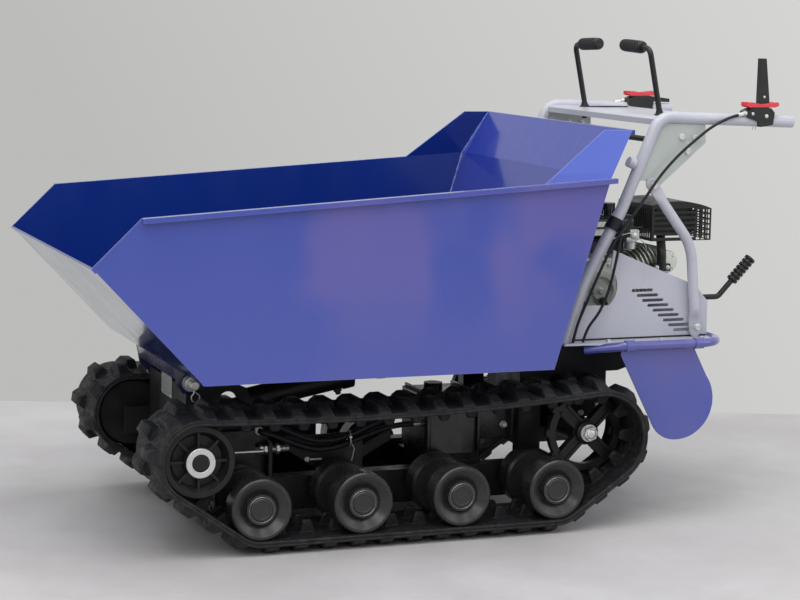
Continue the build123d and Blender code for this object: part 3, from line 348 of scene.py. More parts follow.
class Shape:
    """Pieces gathered in one mesh object. Points and sizes are in millimetres."""

    def __init__(self):
        self.mesh = bmesh.new()

    def loop(self, points):
        return [self.mesh.verts.new(point * MM) for point in points]

    def bridge(self, first, second):
        for index, vertex in enumerate(first):
            after = (index + 1) % len(first)
            self.mesh.faces.new((vertex, first[after], second[after], second[index]))

    def round(self, centre, out, across, radius, sides):
        """A loop of points about centre; out and across span its plane."""
        turns = [2 * math.pi * side / sides for side in range(sides)]
        return self.loop([centre + (out * math.cos(t) + across * math.sin(t)) * radius for t in turns])

    def turned(self, centre, axis, profile, sides=24, ring=False):
        """Turned about axis from (distance along it, radius) pairs; a ring's profile closes on itself."""
        centre, axis = Vector(centre), Vector(axis).normalized()
        out = axis.orthogonal().normalized()
        across = axis.cross(out)
        loops = [self.round(centre + axis * along, out, across, radius, sides) for along, radius in profile]
        for first, second in zip(loops, loops[1:]):
            self.bridge(first, second)
        if ring:
            self.bridge(loops[-1], loops[0])
        else:
            self.mesh.faces.new(loops[0])
            self.mesh.faces.new(loops[-1])

    def wire(self, points, radius, sides=8):
        """A round wire or bead through the points; radius is one number or one for each point."""
        points = [Vector(point) for point in points]
        radii = radius if isinstance(radius, list) else [radius] * len(points)
        out = (points[1] - points[0]).orthogonal().normalized()
        loops = []
        for index, point in enumerate(points):
            way = (points[min(index + 1, len(points) - 1)] - points[max(index - 1, 0)]).normalized()
            out = (out - way * out.dot(way)).normalized()
            loops.append(self.round(point, out, way.cross(out), radii[index], sides))
        for first, second in zip(loops, loops[1:]):
            self.bridge(first, second)
        self.mesh.faces.new(loops[0])
        self.mesh.faces.new(loops[-1])

    def slab(self, outline, origin, right, up, thick, bevel=0.0):
        """A flat plate with that (right, up) outline from origin, thick along right x up."""
        origin, right, up = Vector(origin), Vector(right).normalized(), Vector(up).normalized()
        deep = right.cross(up) * thick
        flat = [origin + right * a + up * b for a, b in outline]
        low, high = self.loop(flat), self.loop([point + deep for point in flat])
        self.bridge(low, high)
        ends = [self.mesh.faces.new(low), self.mesh.faces.new(high)]
        if bevel:
            rims = list({edge for face in ends for edge in face.edges})
            bmesh.ops.bevel(self.mesh, geom=rims, offset=bevel * MM, segments=2, affect="EDGES")

    def block(self, low, high, bevel=0.6):
        wide, deep = high[0] - low[0], high[1] - low[1]
        self.slab([(0, 0), (wide, 0), (wide, deep), (0, deep)], low, (1, 0, 0), (0, 1, 0), high[2] - low[2], bevel)

    def bolt(self, centre, axis, size=8.0, nut=False):
        """A chamfered hexagon head, or a nut on its screw's end, over a washer."""
        washer, tall = 0.2 * size, 0.62 * size
        self.turned(centre, axis, (
            (0, 1.1 * size), (washer, 1.1 * size), (1.1 * washer, 1.0 * size), (1.1 * washer, 0.4 * size),
        ))
        self.turned(centre, axis, (
            (washer, 0.92 * size), (washer + 0.85 * tall, 0.92 * size), (washer + tall, 0.8 * size),
            (washer + tall, 0.56 * size), (washer + 0.94 * tall, 0.5 * size),
        ), sides=6)
        if nut:
            self.turned(centre, axis, (
                (washer, 0.5 * size), (washer + 1.35 * tall, 0.5 * size), (washer + 1.5 * tall, 0.38 * size),
            ), sides=16)

    def dome(self, centre, axis, radius, tall):
        """A low round head."""
        self.turned(centre, axis, (
            (0, radius), (0.45 * tall, 0.95 * radius), (0.8 * tall, 0.7 * radius), (tall, 0.3 * radius),
        ), sides=16)

    def place(self, name, body, slot, crease=0.6, finish=None):
        bmesh.ops.recalc_face_normals(self.mesh, faces=self.mesh.faces)
        mesh = bpy.data.meshes.new(name)
        self.mesh.to_mesh(mesh)
        self.mesh.free()
        mesh.shade_smooth()
        mesh.set_sharp_from_angle(angle=crease)
        mesh.materials.append(finish or materials[slot])
        piece = bpy.data.objects.new(name, mesh)
        bpy.context.scene.collection.objects.link(piece)
        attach(piece, body)
        return piece


def both_sides(draw):
    """Draw on the machine's left, then its mirror image on the right."""
    for hand in (1, -1):
        draw(hand)


def fasteners():
    """Bolts of the gussets, struts, deck, guards and drive hangers, on both sides."""
    zinc = Shape()

    def draw(hand):
        out, into = (0, hand, 0), (0, -hand, 0)
        for x, z in ((-508, 809), (-541, 807), (-523, 779)):
            zinc.bolt((x, 278 * hand, z), out, 7)
            zinc.bolt((x, 274 * hand, z), into, 7, nut=True)
        zinc.dome((-523, 278 * hand, 796), out, 2.6, 1.4)
        zinc.bolt((-443, 285 * hand, 709), out, 8)
        zinc.bolt((-443, 274 * hand, 709), into, 8, nut=True)
        zinc.bolt((-557, 285.5 * hand, 406), out, 7.5)
        for x, y, size in ((-346, 292, 6), (-466, 298, 6), (-262, 290, 5), (-560, 300, 6)):
            zinc.bolt((x, y * hand, 384), (0, 0, 1), size)
        zinc.dome((-388, 290 * hand, 384), (0, 0, 1), 5, 2)
        for y in (60, 225):
            zinc.bolt((-592, y * hand, 402), (-1, 0, 0), 6)
        for x, z in ((-391, 226), (-352, 209)):
            zinc.bolt((x, 156 * hand, z), out, 6)
        for x in (-375, -536):
            zinc.bolt((x, 321 * hand, 377), (0, 0, -1), 5)

    both_sides(draw)
    zinc.place("fasteners", "chassis", "zinc")


IDLER, SPROCKET = (551.0, 192.0, 73.0), (-307.0, 192.0, 90.0)
ROLLER_X, ROLLER_Z, ROLLER_R = (426.8, 215.3, 3.8, -207.7), 91.0, 62.0
TRACK_IN, TRACK_OUT, TRACK_MID = 183.0, 363.0, 273.0
BELT, LUG, LUG_PITCH, TOP_SAG, GUIDE_TALL = 13.0, 16.0, 60.0, 14.0, 24.0


class BeltLine:
    """The belt's inner face, round idler, rollers and sprocket, as a fine closed line in (x, z)."""

    def __init__(self):
        front, rear = ((x, ROLLER_Z, ROLLER_R) for x in (ROLLER_X[0], ROLLER_X[-1]))
        wheels = [SPROCKET, IDLER, front, rear]
        runs = [self.tangent(a, b) for a, b in zip(wheels, wheels[1:] + wheels[:1])]
        self.points = []
        for index, (start, stop) in enumerate(runs):
            if index == 0:
                self.sag(start, stop)
            else:
                self.straight(start, stop)
            self.wrap(wheels[(index + 1) % 4], stop, runs[(index + 1) % 4][0])
        self.lengths = [0.0]
        for a, b in zip(self.points, self.points[1:] + self.points[:1]):
            self.lengths.append(self.lengths[-1] + math.dist(a, b))
        self.links = round(self.lengths[-1] / LUG_PITCH)

    def tangent(self, a, b):
        dx, dz = b[0] - a[0], b[1] - a[1]
        turn = math.atan2(dz, dx) + math.acos((a[2] - b[2]) / math.hypot(dx, dz))
        way = (math.cos(turn), math.sin(turn))
        return tuple((c[0] + c[2] * way[0], c[1] + c[2] * way[1]) for c in (a, b))

    def straight(self, start, stop):
        steps = int(math.dist(start, stop))
        for step in range(steps):
            part = step / steps
            self.points.append((start[0] + (stop[0] - start[0]) * part, start[1] + (stop[1] - start[1]) * part))

    def sag(self, start, stop):
        """The slack top run, a shallow arc."""
        steps, long = int(math.dist(start, stop)), math.dist(start, stop)
        radius = (long * long / 4 + TOP_SAG * TOP_SAG) / (2 * TOP_SAG)
        for step in range(steps):
            part = step / steps
            off = (part - 0.5) * long
            drop = math.sqrt(radius * radius - off * off) - (radius - TOP_SAG)
            self.points.append((start[0] + (stop[0] - start[0]) * part, start[1] + (stop[1] - start[1]) * part - drop))

    def wrap(self, wheel, start, stop):
        a = math.atan2(start[1] - wheel[1], start[0] - wheel[0])
        b = math.atan2(stop[1] - wheel[1], stop[0] - wheel[0])
        sweep = (a - b) % (2 * math.pi)
        steps = max(2, int(sweep * wheel[2]))
        for step in range(steps):
            turn = a - sweep * step / steps
            self.points.append((wheel[0] + wheel[2] * math.cos(turn), wheel[1] + wheel[2] * math.sin(turn)))

    def off(self, distance, out, ahead=0.0):
        """(x, z) at out off the belt's inner face, ahead of that distance along it."""
        distance %= self.lengths[-1]
        low = bisect.bisect_right(self.lengths, distance) - 1
        count = len(self.points)
        a, b = self.points[low % count], self.points[(low + 1) % count]
        back, fore = self.points[(low - 2) % count], self.points[(low + 3) % count]
        part = (distance - self.lengths[low]) / max(1e-9, self.lengths[low + 1] - self.lengths[low])
        size = math.dist(back, fore)
        wx, wz = (fore[0] - back[0]) / size, (fore[1] - back[1]) / size
        return a[0] + (b[0] - a[0]) * part + wx * ahead - wz * out, a[1] + (b[1] - a[1]) * part + wz * ahead + wx * out


def tracks():
    """Rubber tracks: grooved belt, staggered lugs with sloping ends, and rounded guide teeth."""
    line = BeltLine()
    whole = line.lengths[-1]
    # (y from the middle, height off the inner face) round the belt's section
    half = ((0, BELT), (84, BELT), (87.5, BELT - 0.5), (90, BELT - 2.4), (90, 8.8), (88.8, 8.0), (88.8, 5.4), (90, 4.6),
            (90, 2.0), (88.4, 0.4), (85, 0), (0, 0))
    section = list(half[:-1]) + [(-y, out) for y, out in reversed(half[1:])]
    # lug stations from the belt's edge to its middle: (in from the edge, height, half foot, half head)
    stations = ((1.2, 2.2, 13.6, 11.8), (3.2, 4.2, 14.6, 12.0), (24, 14.6, 15, 10.2), (28, LUG, 15, 9.5),
                (84, LUG, 15, 9.5), (88, LUG - 1.6, 14.6, 9.0), (91, LUG - 5, 14, 8.6))
    for node, hand in (("track_left", 1), ("track_right", -1)):
        track = Shape()

        def point(distance, out, y, ahead=0.0):
            x, z = line.off(distance, out, ahead)
            return Vector((x, hand * y, z))

        steps = line.links * 10
        loops = [track.loop([point(whole * step / steps, out, TRACK_MID + y) for y, out in section])
                 for step in range(steps)]
        for first, second in zip(loops, loops[1:] + loops[:1]):
            track.bridge(first, second)
        for edge, inward, phase in ((TRACK_OUT, -1, 0.0), (TRACK_IN, 1, 0.5)):
            for link in range(line.links):
                middle = whole * (link + phase) / line.links
                lug = []
                for inset, tall, foot, head in stations:
                    y = edge + inward * inset
                    lug.append(track.loop([
                        point(middle - foot, BELT - 0.6, y), point(middle, BELT + tall - 1.4, y, -head - 0.9),
                        point(middle, BELT + tall, y, -head + 0.5), point(middle, BELT + tall, y, head - 0.5),
                        point(middle, BELT + tall - 1.4, y, head + 0.9), point(middle + foot, BELT - 0.6, y),
                    ]))
                for first, second in zip(lug, lug[1:]):
                    track.bridge(first, second)
                track.mesh.faces.new(lug[0])
                track.mesh.faces.new(lug[-1])
        for link in range(line.links):
            middle = whole * (link + 0.5) / line.links
            for side in (25, -25):
                tooth = []
                for across, shrink in ((-6, 3.0), (-4.2, 0.6), (-3, 0.0), (3, 0.0), (4.2, 0.6), (6, 3.0)):
                    y, tall, head = TRACK_MID + side + across, GUIDE_TALL - shrink, 9 - 0.8 * shrink
                    tooth.append(track.loop([
                        point(middle - 16 + 0.4 * shrink, 0.6, y), point(middle, 3 - tall, y, -head - 1.2),
                        point(middle, -tall, y, 2.4 - head), point(middle, -tall, y, head - 2.4),
                        point(middle, 3 - tall, y, head + 1.2), point(middle + 16 - 0.4 * shrink, 0.6, y),
                    ]))
                for first, second in zip(tooth, tooth[1:]):
                    track.bridge(first, second)
                track.mesh.faces.new(tooth[0])
                track.mesh.faces.new(tooth[-1])
        piece = track.place(f"rubber_{node}", "chassis", "track_rubber", crease=0.5)
        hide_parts(node)


def roller_trim():
    """Thin rings and dark end caps on the rollers' hubs, and the sprockets' washers, nuts and threads."""
    rings, caps, zinc = Shape(), Shape(), Shape()

    def draw(hand):
        out = (0, hand, 0)
        for x in ROLLER_X:
            rings.turned((x, 352 * hand, ROLLER_Z), out, (
                (0, 26.2), (1.5, 26.2), (2.2, 25.4), (1.5, 24.6), (0, 24.6),
            ), sides=48, ring=True)
            caps.turned((x, 348 * hand, ROLLER_Z), out, (
                (0, 22.6), (5.6, 22.6), (7.0, 21.2), (7.2, 17.5), (6.2, 16.8), (6.2, 5),
            ), sides=40)
        zinc.turned((SPROCKET[0], 289.6 * hand, SPROCKET[1]), out, (
            (0, 18.6), (2.2, 18.6), (2.8, 18.0), (2.8, 10.3), (0, 10.3),
        ), sides=40, ring=True)
        zinc.turned((SPROCKET[0], 292.4 * hand, SPROCKET[1]), out, (
            (0, 16.2), (9.6, 16.2), (11, 14.4), (11, 10.3), (0, 10.3),
        ), sides=6, ring=True)
        thread = [(0, 10.1)]
        for turn in range(9):
            thread += [(0.4 + 1.5 * turn, 10.1), (1.15 + 1.5 * turn, 10.7)]
        zinc.turned((SPROCKET[0], 291 * hand, SPROCKET[1]), out, thread + [(14.4, 9.4), (15.2, 8.2)], sides=24)

    both_sides(draw)
    rings.place("roller_rings", "chassis", "zinc", finish=dark_zinc)
    caps.place("roller_caps", "chassis", "black_paint", finish=rollers_finish)
    zinc.place("sprocket_nuts", "chassis", "zinc")


# Struts, in mm: ends' reach past their bolts, bends, flats, and the tube's half width and half thickness
STRUT_END, STRUT_BEND, STRUT_FLAT, STRUT_BLEND = 13, 34, 34, 30
STRUT_R, FLAT_WIDE, FLAT_THICK, STRUT_Y = 11, 13, 3.2, 276


def struts():
    """Bent round tubes whose ends are pressed flat and rounded; the upper flat lies along the tube."""
    tubes = Shape()
    path = [Vector(p) for p in ((-440, 0, 712), (-541, 0, 580), (-551, 0, 470), (-560, 0, 396))]
    ends = ((path[0] - path[1]).normalized() * STRUT_END, (path[3] - path[2]).normalized() * STRUT_END)
    path = [path[0] + ends[0], path[1], path[2], path[3] + ends[1]]
    line = [path[0]]
    for corner, before, after in zip(path[1:-1], path, path[2:]):
        start = corner + (before - corner).normalized() * STRUT_BEND
        stop = corner + (after - corner).normalized() * STRUT_BEND
        reach = (start - line[-1]).length
        line += [line[-1].lerp(start, step / int(reach / 3)) for step in range(1, int(reach / 3))]
        for step in range(13):
            part = step / 12
            line.append(start.lerp(corner, part).lerp(corner.lerp(stop, part), part))
    reach = (path[-1] - line[-1]).length
    line += [line[-1].lerp(path[-1], step / int(reach / 3)) for step in range(1, int(reach / 3) + 1)]
    run = [0.0]
    for one, two in zip(line, line[1:]):
        run.append(run[-1] + (two - one).length)

    def draw(hand):
        loops = []
        for index, spot in enumerate(line):
            way = (line[min(index + 1, len(line) - 1)] - line[max(index - 1, 0)]).normalized()
            across = Vector((0, 1, 0)).cross(way)
            top, foot = run[index], run[-1] - run[index]
            near = min(top, foot)
            swell = min(1.0, max(0.0, (near - STRUT_FLAT) / STRUT_BLEND))
            swell = swell * swell * (3 - 2 * swell)
            y = STRUT_Y + (1 - swell) * (5.5 if top < foot else -6)
            round_off = math.sqrt(max(0.02, 1 - (1 - min(near, STRUT_END) / STRUT_END) ** 2))
            wide = (FLAT_WIDE - (FLAT_WIDE - STRUT_R) * swell) * round_off
            thick, power = FLAT_THICK + 7.8 * swell, 0.4 + 0.6 * swell
            ring = []
            for step in range(24):
                turn = math.tau * step / 24
                c, s = math.cos(turn), math.sin(turn)
                ring.append(spot + across * math.copysign(abs(c) ** power, c) * wide
                            + Vector((0, y + math.copysign(abs(s) ** power, s) * thick, 0)))
            loops.append(tubes.loop([Vector((p.x, p.y * hand, p.z)) for p in ring]))
        for first, second in zip(loops, loops[1:]):
            tubes.bridge(first, second)
        tubes.mesh.faces.new(loops[0])
        tubes.mesh.faces.new(loops[-1])

    both_sides(draw)
    piece = tubes.place("bent_struts", "chassis", "grey_paint")
    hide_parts("struts")


def idler_trim():
    """Bright ring and dark cap on the idlers' hubs."""
    bright, dark = Shape(), Shape()

    def draw(hand):
        out = (0, hand, 0)
        bright.turned((551, 352 * hand, 192), out, (
            (0, 29.4), (3.4, 29.4), (4.4, 28.4), (4.4, 18.2), (3.6, 17.4), (0, 17.4),
        ), sides=48, ring=True)
        dark.turned((551, 350 * hand, 192), out, ((0, 16.8), (5.0, 16.8), (6.6, 15.2), (7.0, 11), (7.0, 4)), sides=40)

    both_sides(draw)
    bright.place("idler_rings", "chassis", "zinc")
    dark.place("idler_caps", "chassis", "black_paint")


def pin_clips():
    """Washer, retaining clip and chamfered end on the hinge pins."""
    zinc = Shape()

    def draw(hand):
        zinc.turned((518, 169 * hand, 314), (0, hand, 0), (
            (0, 15), (2.2, 15), (2.8, 14.4), (2.8, 9.2), (0, 9.2),
        ), sides=40, ring=True)
        loop = [(518, 177, 325), (518, 177.6, 305), (516, 178, 301)]
        loop += [(513 - 8.6 * math.sin(turn), 178.5, 287.5 + 9.2 * math.cos(turn))
                 for turn in (math.radians(d) for d in range(-25, -336, -24))]
        loop += [(517.5, 177.6, 302), (520, 177, 306), (528, 176.5, 309)]
        zinc.wire([(x, y * hand, z) for x, y, z in loop], 1.35)
        zinc.turned((518, 192 * hand, 314), (0, hand, 0), ((0, 9.2), (1.2, 9.2), (2.4, 7.8), (2.4, 0.5)))

    both_sides(draw)
    zinc.place("pin_clips", "chassis", "zinc")


def plate_trim():
    """Rivets and a raised rim on the tower's blank plate."""
    rivets = Shape()
    for y in (-35, 35):
        for z in (267, 309):
            rivets.dome((525.4, y, z), (1, 0, 0), 2.4, 1.3)
    for low, high in (((525.3, -38.5, 263.5), (525.9, 38.5, 264.7)), ((525.3, -38.5, 311.3), (525.9, 38.5, 312.5)),
                      ((525.3, -38.5, 264.7), (525.9, -37.3, 311.3)), ((525.3, 37.3, 264.7), (525.9, 38.5, 311.3))):
        rivets.block(low, high, 0.15)
    rivets.place("plate_rivets", "chassis", "zinc")


def weld_beads():
    """Rippled seams in the skip's corners, in a lighter blue that is a painted highlight."""
    seams = Shape()
    runs = [
        [(-175, 385.6, 352.8), (-288, 385.6, 733.5), (-343.4, 366, 828.5)],
        [(760, 386, 573), (554, 386, 352.8), (-174.6, 386, 352.8)],
    ]
    for hand in (1, -1):
        for run in runs:
            ends = [Vector((x, y * hand, z)) for x, y, z in run]
            path = []
            for start, stop in zip(ends, ends[1:]):
                steps = max(2, int((stop - start).length / 2.6))
                path += [start.lerp(stop, step / steps) for step in range(steps)]
            path.append(ends[-1])
            seams.wire(path, [2.0 + 0.55 * math.sin(2.4 * i) + 0.35 * math.sin(0.61 * i) for i in range(len(path))], 6)
    seams.place("weld_beads", "skip", "blue_paint", crease=1.2, finish=weld_highlight_finish)


def frame_brackets():
    """Upright bracket plates on the rails, drive hangers, and the channel between the rails."""
    steel = Shape()

    def draw(hand):
        y = 150 * hand
        steel.slab([(318, 192), (306, 160), (257, 129), (240, 113), (146, 113), (146, 196)],
                   (0, y, 0), (1, 0, 0), (0, 0, 1), -3 * hand, 0.5)
        steel.slab([(-410, 302), (-410, 214), (-392, 204), (-340, 196), (-330, 204), (-330, 302)],
                   (0, y, 0), (1, 0, 0), (0, 0, 1), -6 * hand, 0.6)

    both_sides(draw)
    steel.slab([(0, 0), (98, -54), (98, -76), (0, -22)], (76, 118, 190), (1, 0, 0), (0, 0, 1), -12, 0.8)
    steel.place("frame_brackets", "chassis", "black_paint")


def tension_screws():
    """Screws and nuts that push the idlers forward."""
    zinc = Shape()

    def draw(hand):
        y = 170 * hand
        zinc.wire([(368, y, 169), (440, y, 169)], 4.2, 16)
        for x, wide in ((357, 11.5), (366, 10.5), (331, 11.5)):
            zinc.turned((x, 160 * hand, 170), (1, 0, 0), (
                (0, 0.92 * wide), (1.0, wide), (7, wide), (8, 0.92 * wide), (8, 6.1), (0, 6.1),
            ), sides=6, ring=True)
        thread = []
        for turn in range(52):
            thread += [(1.4 * turn, 6.1), (0.7 + 1.4 * turn, 6.8)]
        zinc.turned((311, 160 * hand, 170), (1, 0, 0), thread, sides=20)
        zinc.bolt((268, 153 * hand, 142), (0, hand, 0), 5)
        zinc.wire([(262, 155 * hand, 142), (238, 155 * hand, 142)], 3, 12)

    both_sides(draw)
    zinc.place("tension_screws", "chassis", "zinc")


def hose_trim():
    """Fittings at the hoses' ends, and the tie round them with its tail."""
    fittings, ties = Shape(), Shape()
    for x, z in ((378, 232), (372, 208)):
        fittings.turned((x, 145.2, z), (0, 1, 0), (
            (0, 10), (8, 10), (9, 8.4), (9, 7.6), (13, 7.6), (13.5, 6.4),
        ), sides=6)
    for y, z in ((141, 226), (131, 200)):
        fittings.turned((2.6, y, z), (1, 0, 0), ((0, 9.6), (9, 9.6), (10, 8.2)), sides=6)
        fittings.turned((12, y, z), (1, 0, 0), ((0, 7.3), (14, 7.3), (15, 6.4)), sides=20)
    for x, z in ((-128, 236), (-158, 236), (-176, 190)):
        fittings.turned((x, 137, z), (0, 1, 0), ((0, 9), (7, 9), (8, 7.6), (8, 6), (14, 6), (14.6, 5)), sides=6)
    fittings.place("hose_fittings", "chassis", "zinc")
    band = [(183, 170 + 11.2 * math.cos(t), 184 + 19 * math.sin(t)) for t in (math.pi * k / 10 for k in range(21))]
    ties.wire(band, 1.3, 6)
    ties.wire([(184, 181, 190), (182, 182, 178), (175, 181.5, 166), (178, 181, 150), (182, 181, 137)], 1.1, 6)
    ties.block((180.5, 179.5, 187), (186.5, 183.5, 192), 0.8)
    ties.place("hose_tie", "chassis", "zinc")


def lever_trim():
    """Cable adjusters, pivot screws, tie tails, slot lips, lever boots and the tall levers' grip studs."""
    zinc, black = Shape(), Shape()

    def draw(hand):
        start, stop = Vector((-664, 284 * hand, 860)), Vector((-634, 289.6 * hand, 855.4))
        along = (stop - start).length
        zinc.turned(start, stop - start, (
            (0, 4.6), (9, 4.6), (9.5, 6.4), (15, 6.4), (15.5, 4.2), (along - 3, 4.2), (along, 3.4),
        ), sides=16)
        for x, z, radius in ((-701, 853, 4.4), (-668, 858, 3.6)):
            zinc.dome((x, 293 * hand, z), (0, hand, 0), radius, 2.0)
        for x in (-680.5, -687):
            zinc.slab([(0, 0), (2.2, 0), (4.4, -9), (2.2, -9)], (x, 278 * hand, 832), (1, 0, 0), (0, 0, 1), 1.2 * hand)
        for y in (176.3, 183.4):
            low, high = sorted((y * hand, (y + 6.3) * hand))
            black.block((-612, low, 849.2), (-494, high, 851.4), 0.4)
        black.turned((-504.5, 183 * hand, 851), (0.1, 0, 1), ((0, 10), (1.5, 10), (3.5, 8), (9, 6.9), (10, 6.2)))

    both_sides(draw)
    zinc.dome((-700, 283, 893), (0, 1, 0), 3.0, 1.4)
    zinc.place("lever_fittings", "chassis", "zinc")
    # studs moulded on the tall levers' grips
    for hand in (1, -1):
        lean = math.radians(88)
        centre, axis = Vector((-477, 105 * hand, 994)), Vector((0, -hand * math.sin(lean), math.cos(lean)))
        out = axis.orthogonal().normalized()
        across = axis.cross(out)
        for row in range(15):
            for column in range(14):
                turn = 2 * math.pi * (column + 0.5 * (row % 2)) / 14
                away = out * math.cos(turn) + across * math.sin(turn)
                black.turned(centre + axis * (5.1 * (row - 7)) + away * 12.7, away, (
                    (0, 2.1), (0.8, 1.8), (1.2, 1.1),
                ), sides=6)
    studs = black.place("grip_studs", "chassis", "grip_rubber")
    for vertex in studs.data.vertices:
        vertex.co.z = min(vertex.co.z, GRIP_TOP)


def engine_trim():
    """Cover screws, carburettor, linkage, head cover, exhaust nuts and cap ribs."""
    bright, dark, pale = Shape(), Shape(), Shape()
    for step in range(8):
        turn = math.radians(22.5 + 45 * step)
        bright.bolt((-386 + 58 * math.cos(turn), 159, 474 + 58 * math.sin(turn)), (0, 1, 0), 4.2)
    bright.bolt((-386, 168, 474), (0, 1, 0), 7)
    dark.turned((-390, 168, 452), (0, 1, 0), ((0, 8.5), (6, 8.5), (8, 7), (8, 3)), sides=10)
    dark.slab([(-392, 462), (-404, 446), (-399, 442), (-384, 456)], (0, 166, 0), (1, 0, 0), (0, 0, 1), -3, 0.6)
    # carburettor with its bowl, flanges and linkage
    bright.block((-492, 104, 576), (-462, 132, 600), 2.0)
    bright.turned((-477, 118, 556), (0, 0, 1), ((0, 9), (2, 12.5), (16, 13), (18, 14.5), (21, 14.5)))
    bright.turned((-477, 132, 588), (0, 1, 0), ((0, 7), (5, 7), (6, 5.4)))
    bright.bolt((-477, 118, 556), (0, 0, -1), 4)
    for x in (-489, -465):
        bright.dome((x, 132, 596), (0, 1, 0), 2.6, 1.6)
    bright.wire([(-474, 139, 590), (-462, 141, 594), (-446, 141, 590), (-432, 138, 583), (-424, 134, 583)], 1.2, 8)
    bright.wire([(-482, 138, 584), (-497, 140, 576), (-508, 136, 560), (-512, 128, 548)], 1.1, 8)
    dark.block((-466, 136, 584), (-456, 140, 602), 1.0)
    # exhaust nuts and the head's round side cover
    for x in (-562, -536):
        bright.bolt((x, 135, 516), (0, 1, 0), 4.5, nut=True)
    pale.turned((-566, 103, 527), (0, 1, 0), ((0, 22), (14, 22), (15, 25), (19, 25), (22, 22.5), (23, 14)), sides=40)
    for step in range(4):
        turn = math.radians(45 + 90 * step)
        pale.dome((-566 + 18 * math.cos(turn), 125.4, 527 + 18 * math.sin(turn)), (0, 1, 0), 2.6, 1.6)
    # filler cap's grip ribs
    for step in range(16):
        turn = 2 * math.pi * step / 16
        way = Vector((math.cos(turn), math.sin(turn), 0))
        dark.slab([(-1.4, 0), (1.4, 0), (0.8, 1.6), (-0.8, 1.6)],
                  Vector((-439, 82, 642)) + way * 15.8, Vector((0, 0, 1)).cross(way), way, 12.0)
    pale.block((-424, 107, 586), (-386, 108.4, 616), 0.4)
    for x in (-421, -389):
        for z in (589, 613):
            pale.dome((x, 108.4, z), (0, 1, 0), 1.6, 0.9)
    bright.place("engine_fittings", "chassis", "zinc")
    dark.place("engine_controls", "chassis", "black_steel")
    pale.place("head_cover", "chassis", "cast_alloy")


def cylinder_trim():
    """Ports, gland slots and weld rings on the tipping cylinder."""
    ports = Shape()
    base, way = Vector((400, 0, 235)), Vector((-340, 0, 65)).normalized()
    up = Vector((0, 1, 0)).cross(way)
    for along in (52, 250):
        ports.turned(base + way * along - up * 23, -up, ((0, 9), (7, 9), (8, 7.5), (8, 6), (13, 6), (13.6, 5)), sides=6)
    for along in (36, 262):
        ports.turned(base + way * along, way, (
            (-2.4, 25.2), (-1.2, 26.6), (0.6, 26.9), (2.0, 26.2), (2.8, 25.2),
        ), sides=40, ring=True)
    for step in range(6):
        turn = math.pi * step / 3
        away = up * math.cos(turn) + Vector((0, 1, 0)) * math.sin(turn)
        ports.turned(base + way * 273 + away * 27.4, away, ((0, 3.4), (0.9, 3.2), (0.9, 1.8), (0.1, 1.6)), sides=12)
    ports.place("cylinder_fittings", "cylinder_barrel", "black_paint")


def guard_trim():
    """Dark gasket strips under the side guards."""
    strips = Shape()

    def draw(hand):
        low, high = sorted((258.4 * hand, 265.2 * hand))
        strips.block((-590, low, 384), (-274, high, 387.4), 0.5)

    both_sides(draw)
    strips.place("guard_gaskets", "chassis", "hose_rubber")


for make in (fasteners, tracks, struts, roller_trim, idler_trim, pin_clips, plate_trim, weld_beads, frame_brackets,
             tension_screws, hose_trim, lever_trim, engine_trim, cylinder_trim, guard_trim):
    make()


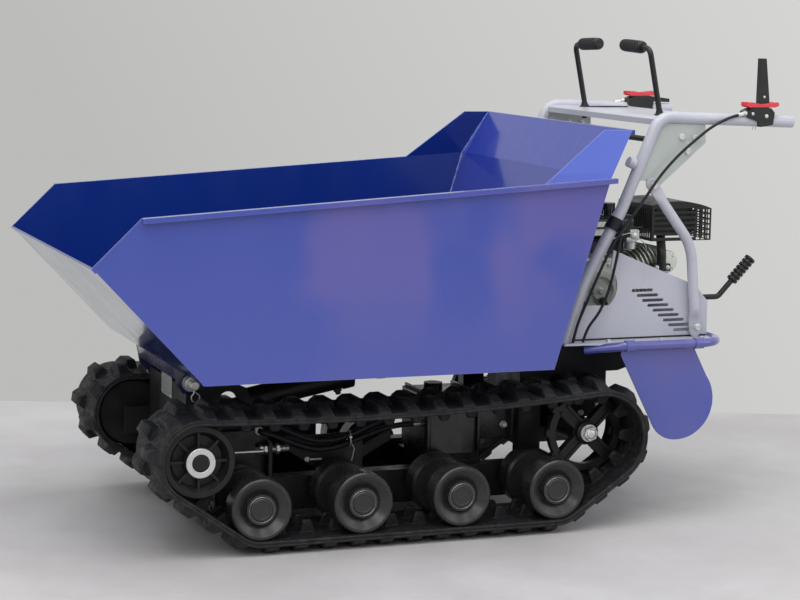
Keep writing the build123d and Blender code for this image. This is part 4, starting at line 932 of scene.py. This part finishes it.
def stage_scene():
    """Floor, world, lamps and the photograph's camera."""
    forward = Vector((
        -math.sin(CAMERA_YAW) * math.cos(CAMERA_PITCH),
        -math.cos(CAMERA_YAW) * math.cos(CAMERA_PITCH),
        -math.sin(CAMERA_PITCH),
    ))
    level_right = forward.cross(Vector((0, 0, 1))).normalized()
    level_up = level_right.cross(forward)
    right = level_right * math.cos(CAMERA_ROLL) + level_up * math.sin(CAMERA_ROLL)
    up = right.cross(forward)
    camera = bpy.data.objects.new("camera", bpy.data.cameras.new("camera"))
    bpy.context.scene.collection.objects.link(camera)
    camera.matrix_world = Matrix((
        (right.x, up.x, -forward.x, CAMERA_PLACE.x),
        (right.y, up.y, -forward.y, CAMERA_PLACE.y),
        (right.z, up.z, -forward.z, CAMERA_PLACE.z),
        (0, 0, 0, 1),
    ))
    camera.data.sensor_width = SENSOR_WIDE
    camera.data.lens = FOCAL_PX * SENSOR_WIDE / IMAGE_WIDE
    bpy.context.scene.camera = camera

    away = Vector((forward.x, forward.y, 0)).normalized()
    across = Vector((-away.y, away.x, 0))
    mesh = bpy.data.meshes.new("floor")
    corners = [
        away * FLOOR_FAR + across * FLOOR_HALF, away * FLOOR_FAR - across * FLOOR_HALF,
        -away * FLOOR_NEAR - across * FLOOR_HALF, -away * FLOOR_NEAR + across * FLOOR_HALF,
    ]
    mesh.from_pydata([tuple(c) for c in corners], [], [(3, 2, 1, 0)])
    floor = bpy.data.objects.new("floor", mesh)
    bpy.context.scene.collection.objects.link(floor)
    concrete = Finish("floor_concrete", specular=0.3)
    tone = concrete.range(concrete.noise(2.2, 6, 0.62), 0.35, 0.68)
    base = concrete.mix(tone, (0.50, 0.475, 0.475), (0.58, 0.56, 0.56))
    specks = concrete.range(concrete.noise(60, 6, 0.75), 0.52, 0.75)
    concrete.colour(concrete.mix(concrete.math("MULTIPLY", specks, 0.18), base, (0.36, 0.34, 0.33)))
    concrete.roughness(concrete.range(concrete.noise(5, 4), 0.3, 0.7, 0.42, 0.6))
    concrete.relief([(concrete.noise(180, 5, 0.7), 0.0004)])
    floor.data.materials.append(concrete.material)

    world = bpy.data.worlds.new("studio")
    bpy.context.scene.world = world
    world.use_nodes = True
    tree = world.node_tree
    tree.nodes.clear()
    output = tree.nodes.new("ShaderNodeOutputWorld")
    blend = tree.nodes.new("ShaderNodeMixShader")
    seen = tree.nodes.new("ShaderNodeBackground")
    toward = tree.nodes.new("ShaderNodeTexCoord")
    slope = tree.nodes.new("ShaderNodeVectorMath")
    slope.operation = "DOT_PRODUCT"
    slope.inputs[1].default_value = (-0.90, 0.42, 0.55)
    tree.links.new(toward.outputs["Generated"], slope.inputs[0])
    shade = tree.nodes.new("ShaderNodeMapRange")
    shade.inputs["From Min"].default_value, shade.inputs["From Max"].default_value = BACKDROP_SLOPE
    shade.inputs["To Min"].default_value, shade.inputs["To Max"].default_value = BACKDROP_TONE
    tree.links.new(slope.outputs["Value"], shade.inputs["Value"])
    tree.links.new(shade.outputs["Result"], seen.inputs["Strength"])
    seen.inputs["Color"].default_value = (1.000, 1.010, 0.990, 1)
    lit = tree.nodes.new("ShaderNodeBackground")
    lit.inputs["Color"].default_value = (0.92, 0.96, 1.0, 1)
    lit.inputs["Strength"].default_value = 0.55
    path = tree.nodes.new("ShaderNodeLightPath")
    either = tree.nodes.new("ShaderNodeMath")
    either.operation = "MAXIMUM"
    tree.links.new(path.outputs["Is Camera Ray"], either.inputs[0])
    tree.links.new(path.outputs["Is Transmission Ray"], either.inputs[1])
    any_seen = tree.nodes.new("ShaderNodeMath")
    any_seen.operation = "MAXIMUM"
    tree.links.new(either.outputs[0], any_seen.inputs[0])
    tree.links.new(path.outputs["Is Glossy Ray"], any_seen.inputs[1])
    tree.links.new(any_seen.outputs[0], blend.inputs["Fac"])
    tree.links.new(lit.outputs[0], blend.inputs[1])
    tree.links.new(seen.outputs[0], blend.inputs[2])
    tree.links.new(blend.outputs[0], output.inputs["Surface"])

    lamps = (
        ("sky", (0.3, 0.8, 4.2), (0.0, 0.1, 0.3), 4.5, 150, (1.0, 1.0, 1.0)),
        ("key", (2.6, 3.4, 3.0), (0.0, 0.0, 0.4), 2.6, 48, (1.0, 0.98, 0.95)),
        ("fill", (-3.4, 3.0, 1.8), (0.0, 0.0, 0.4), 2.6, 26, (0.93, 0.96, 1.0)),
    )
    for name, place, target, size, power, colour in lamps:
        data = bpy.data.lights.new(name, "AREA")
        data.energy, data.size, data.color = power, size, colour
        lamp = bpy.data.objects.new(name, data)
        lamp.location = place
        lamp.rotation_mode = "QUATERNION"
        lamp.rotation_quaternion = (Vector(target) - Vector(place)).to_track_quat("-Z", "Y")
        bpy.context.scene.collection.objects.link(lamp)
    bpy.context.scene.view_settings.view_transform = "Standard"


stage_scene()
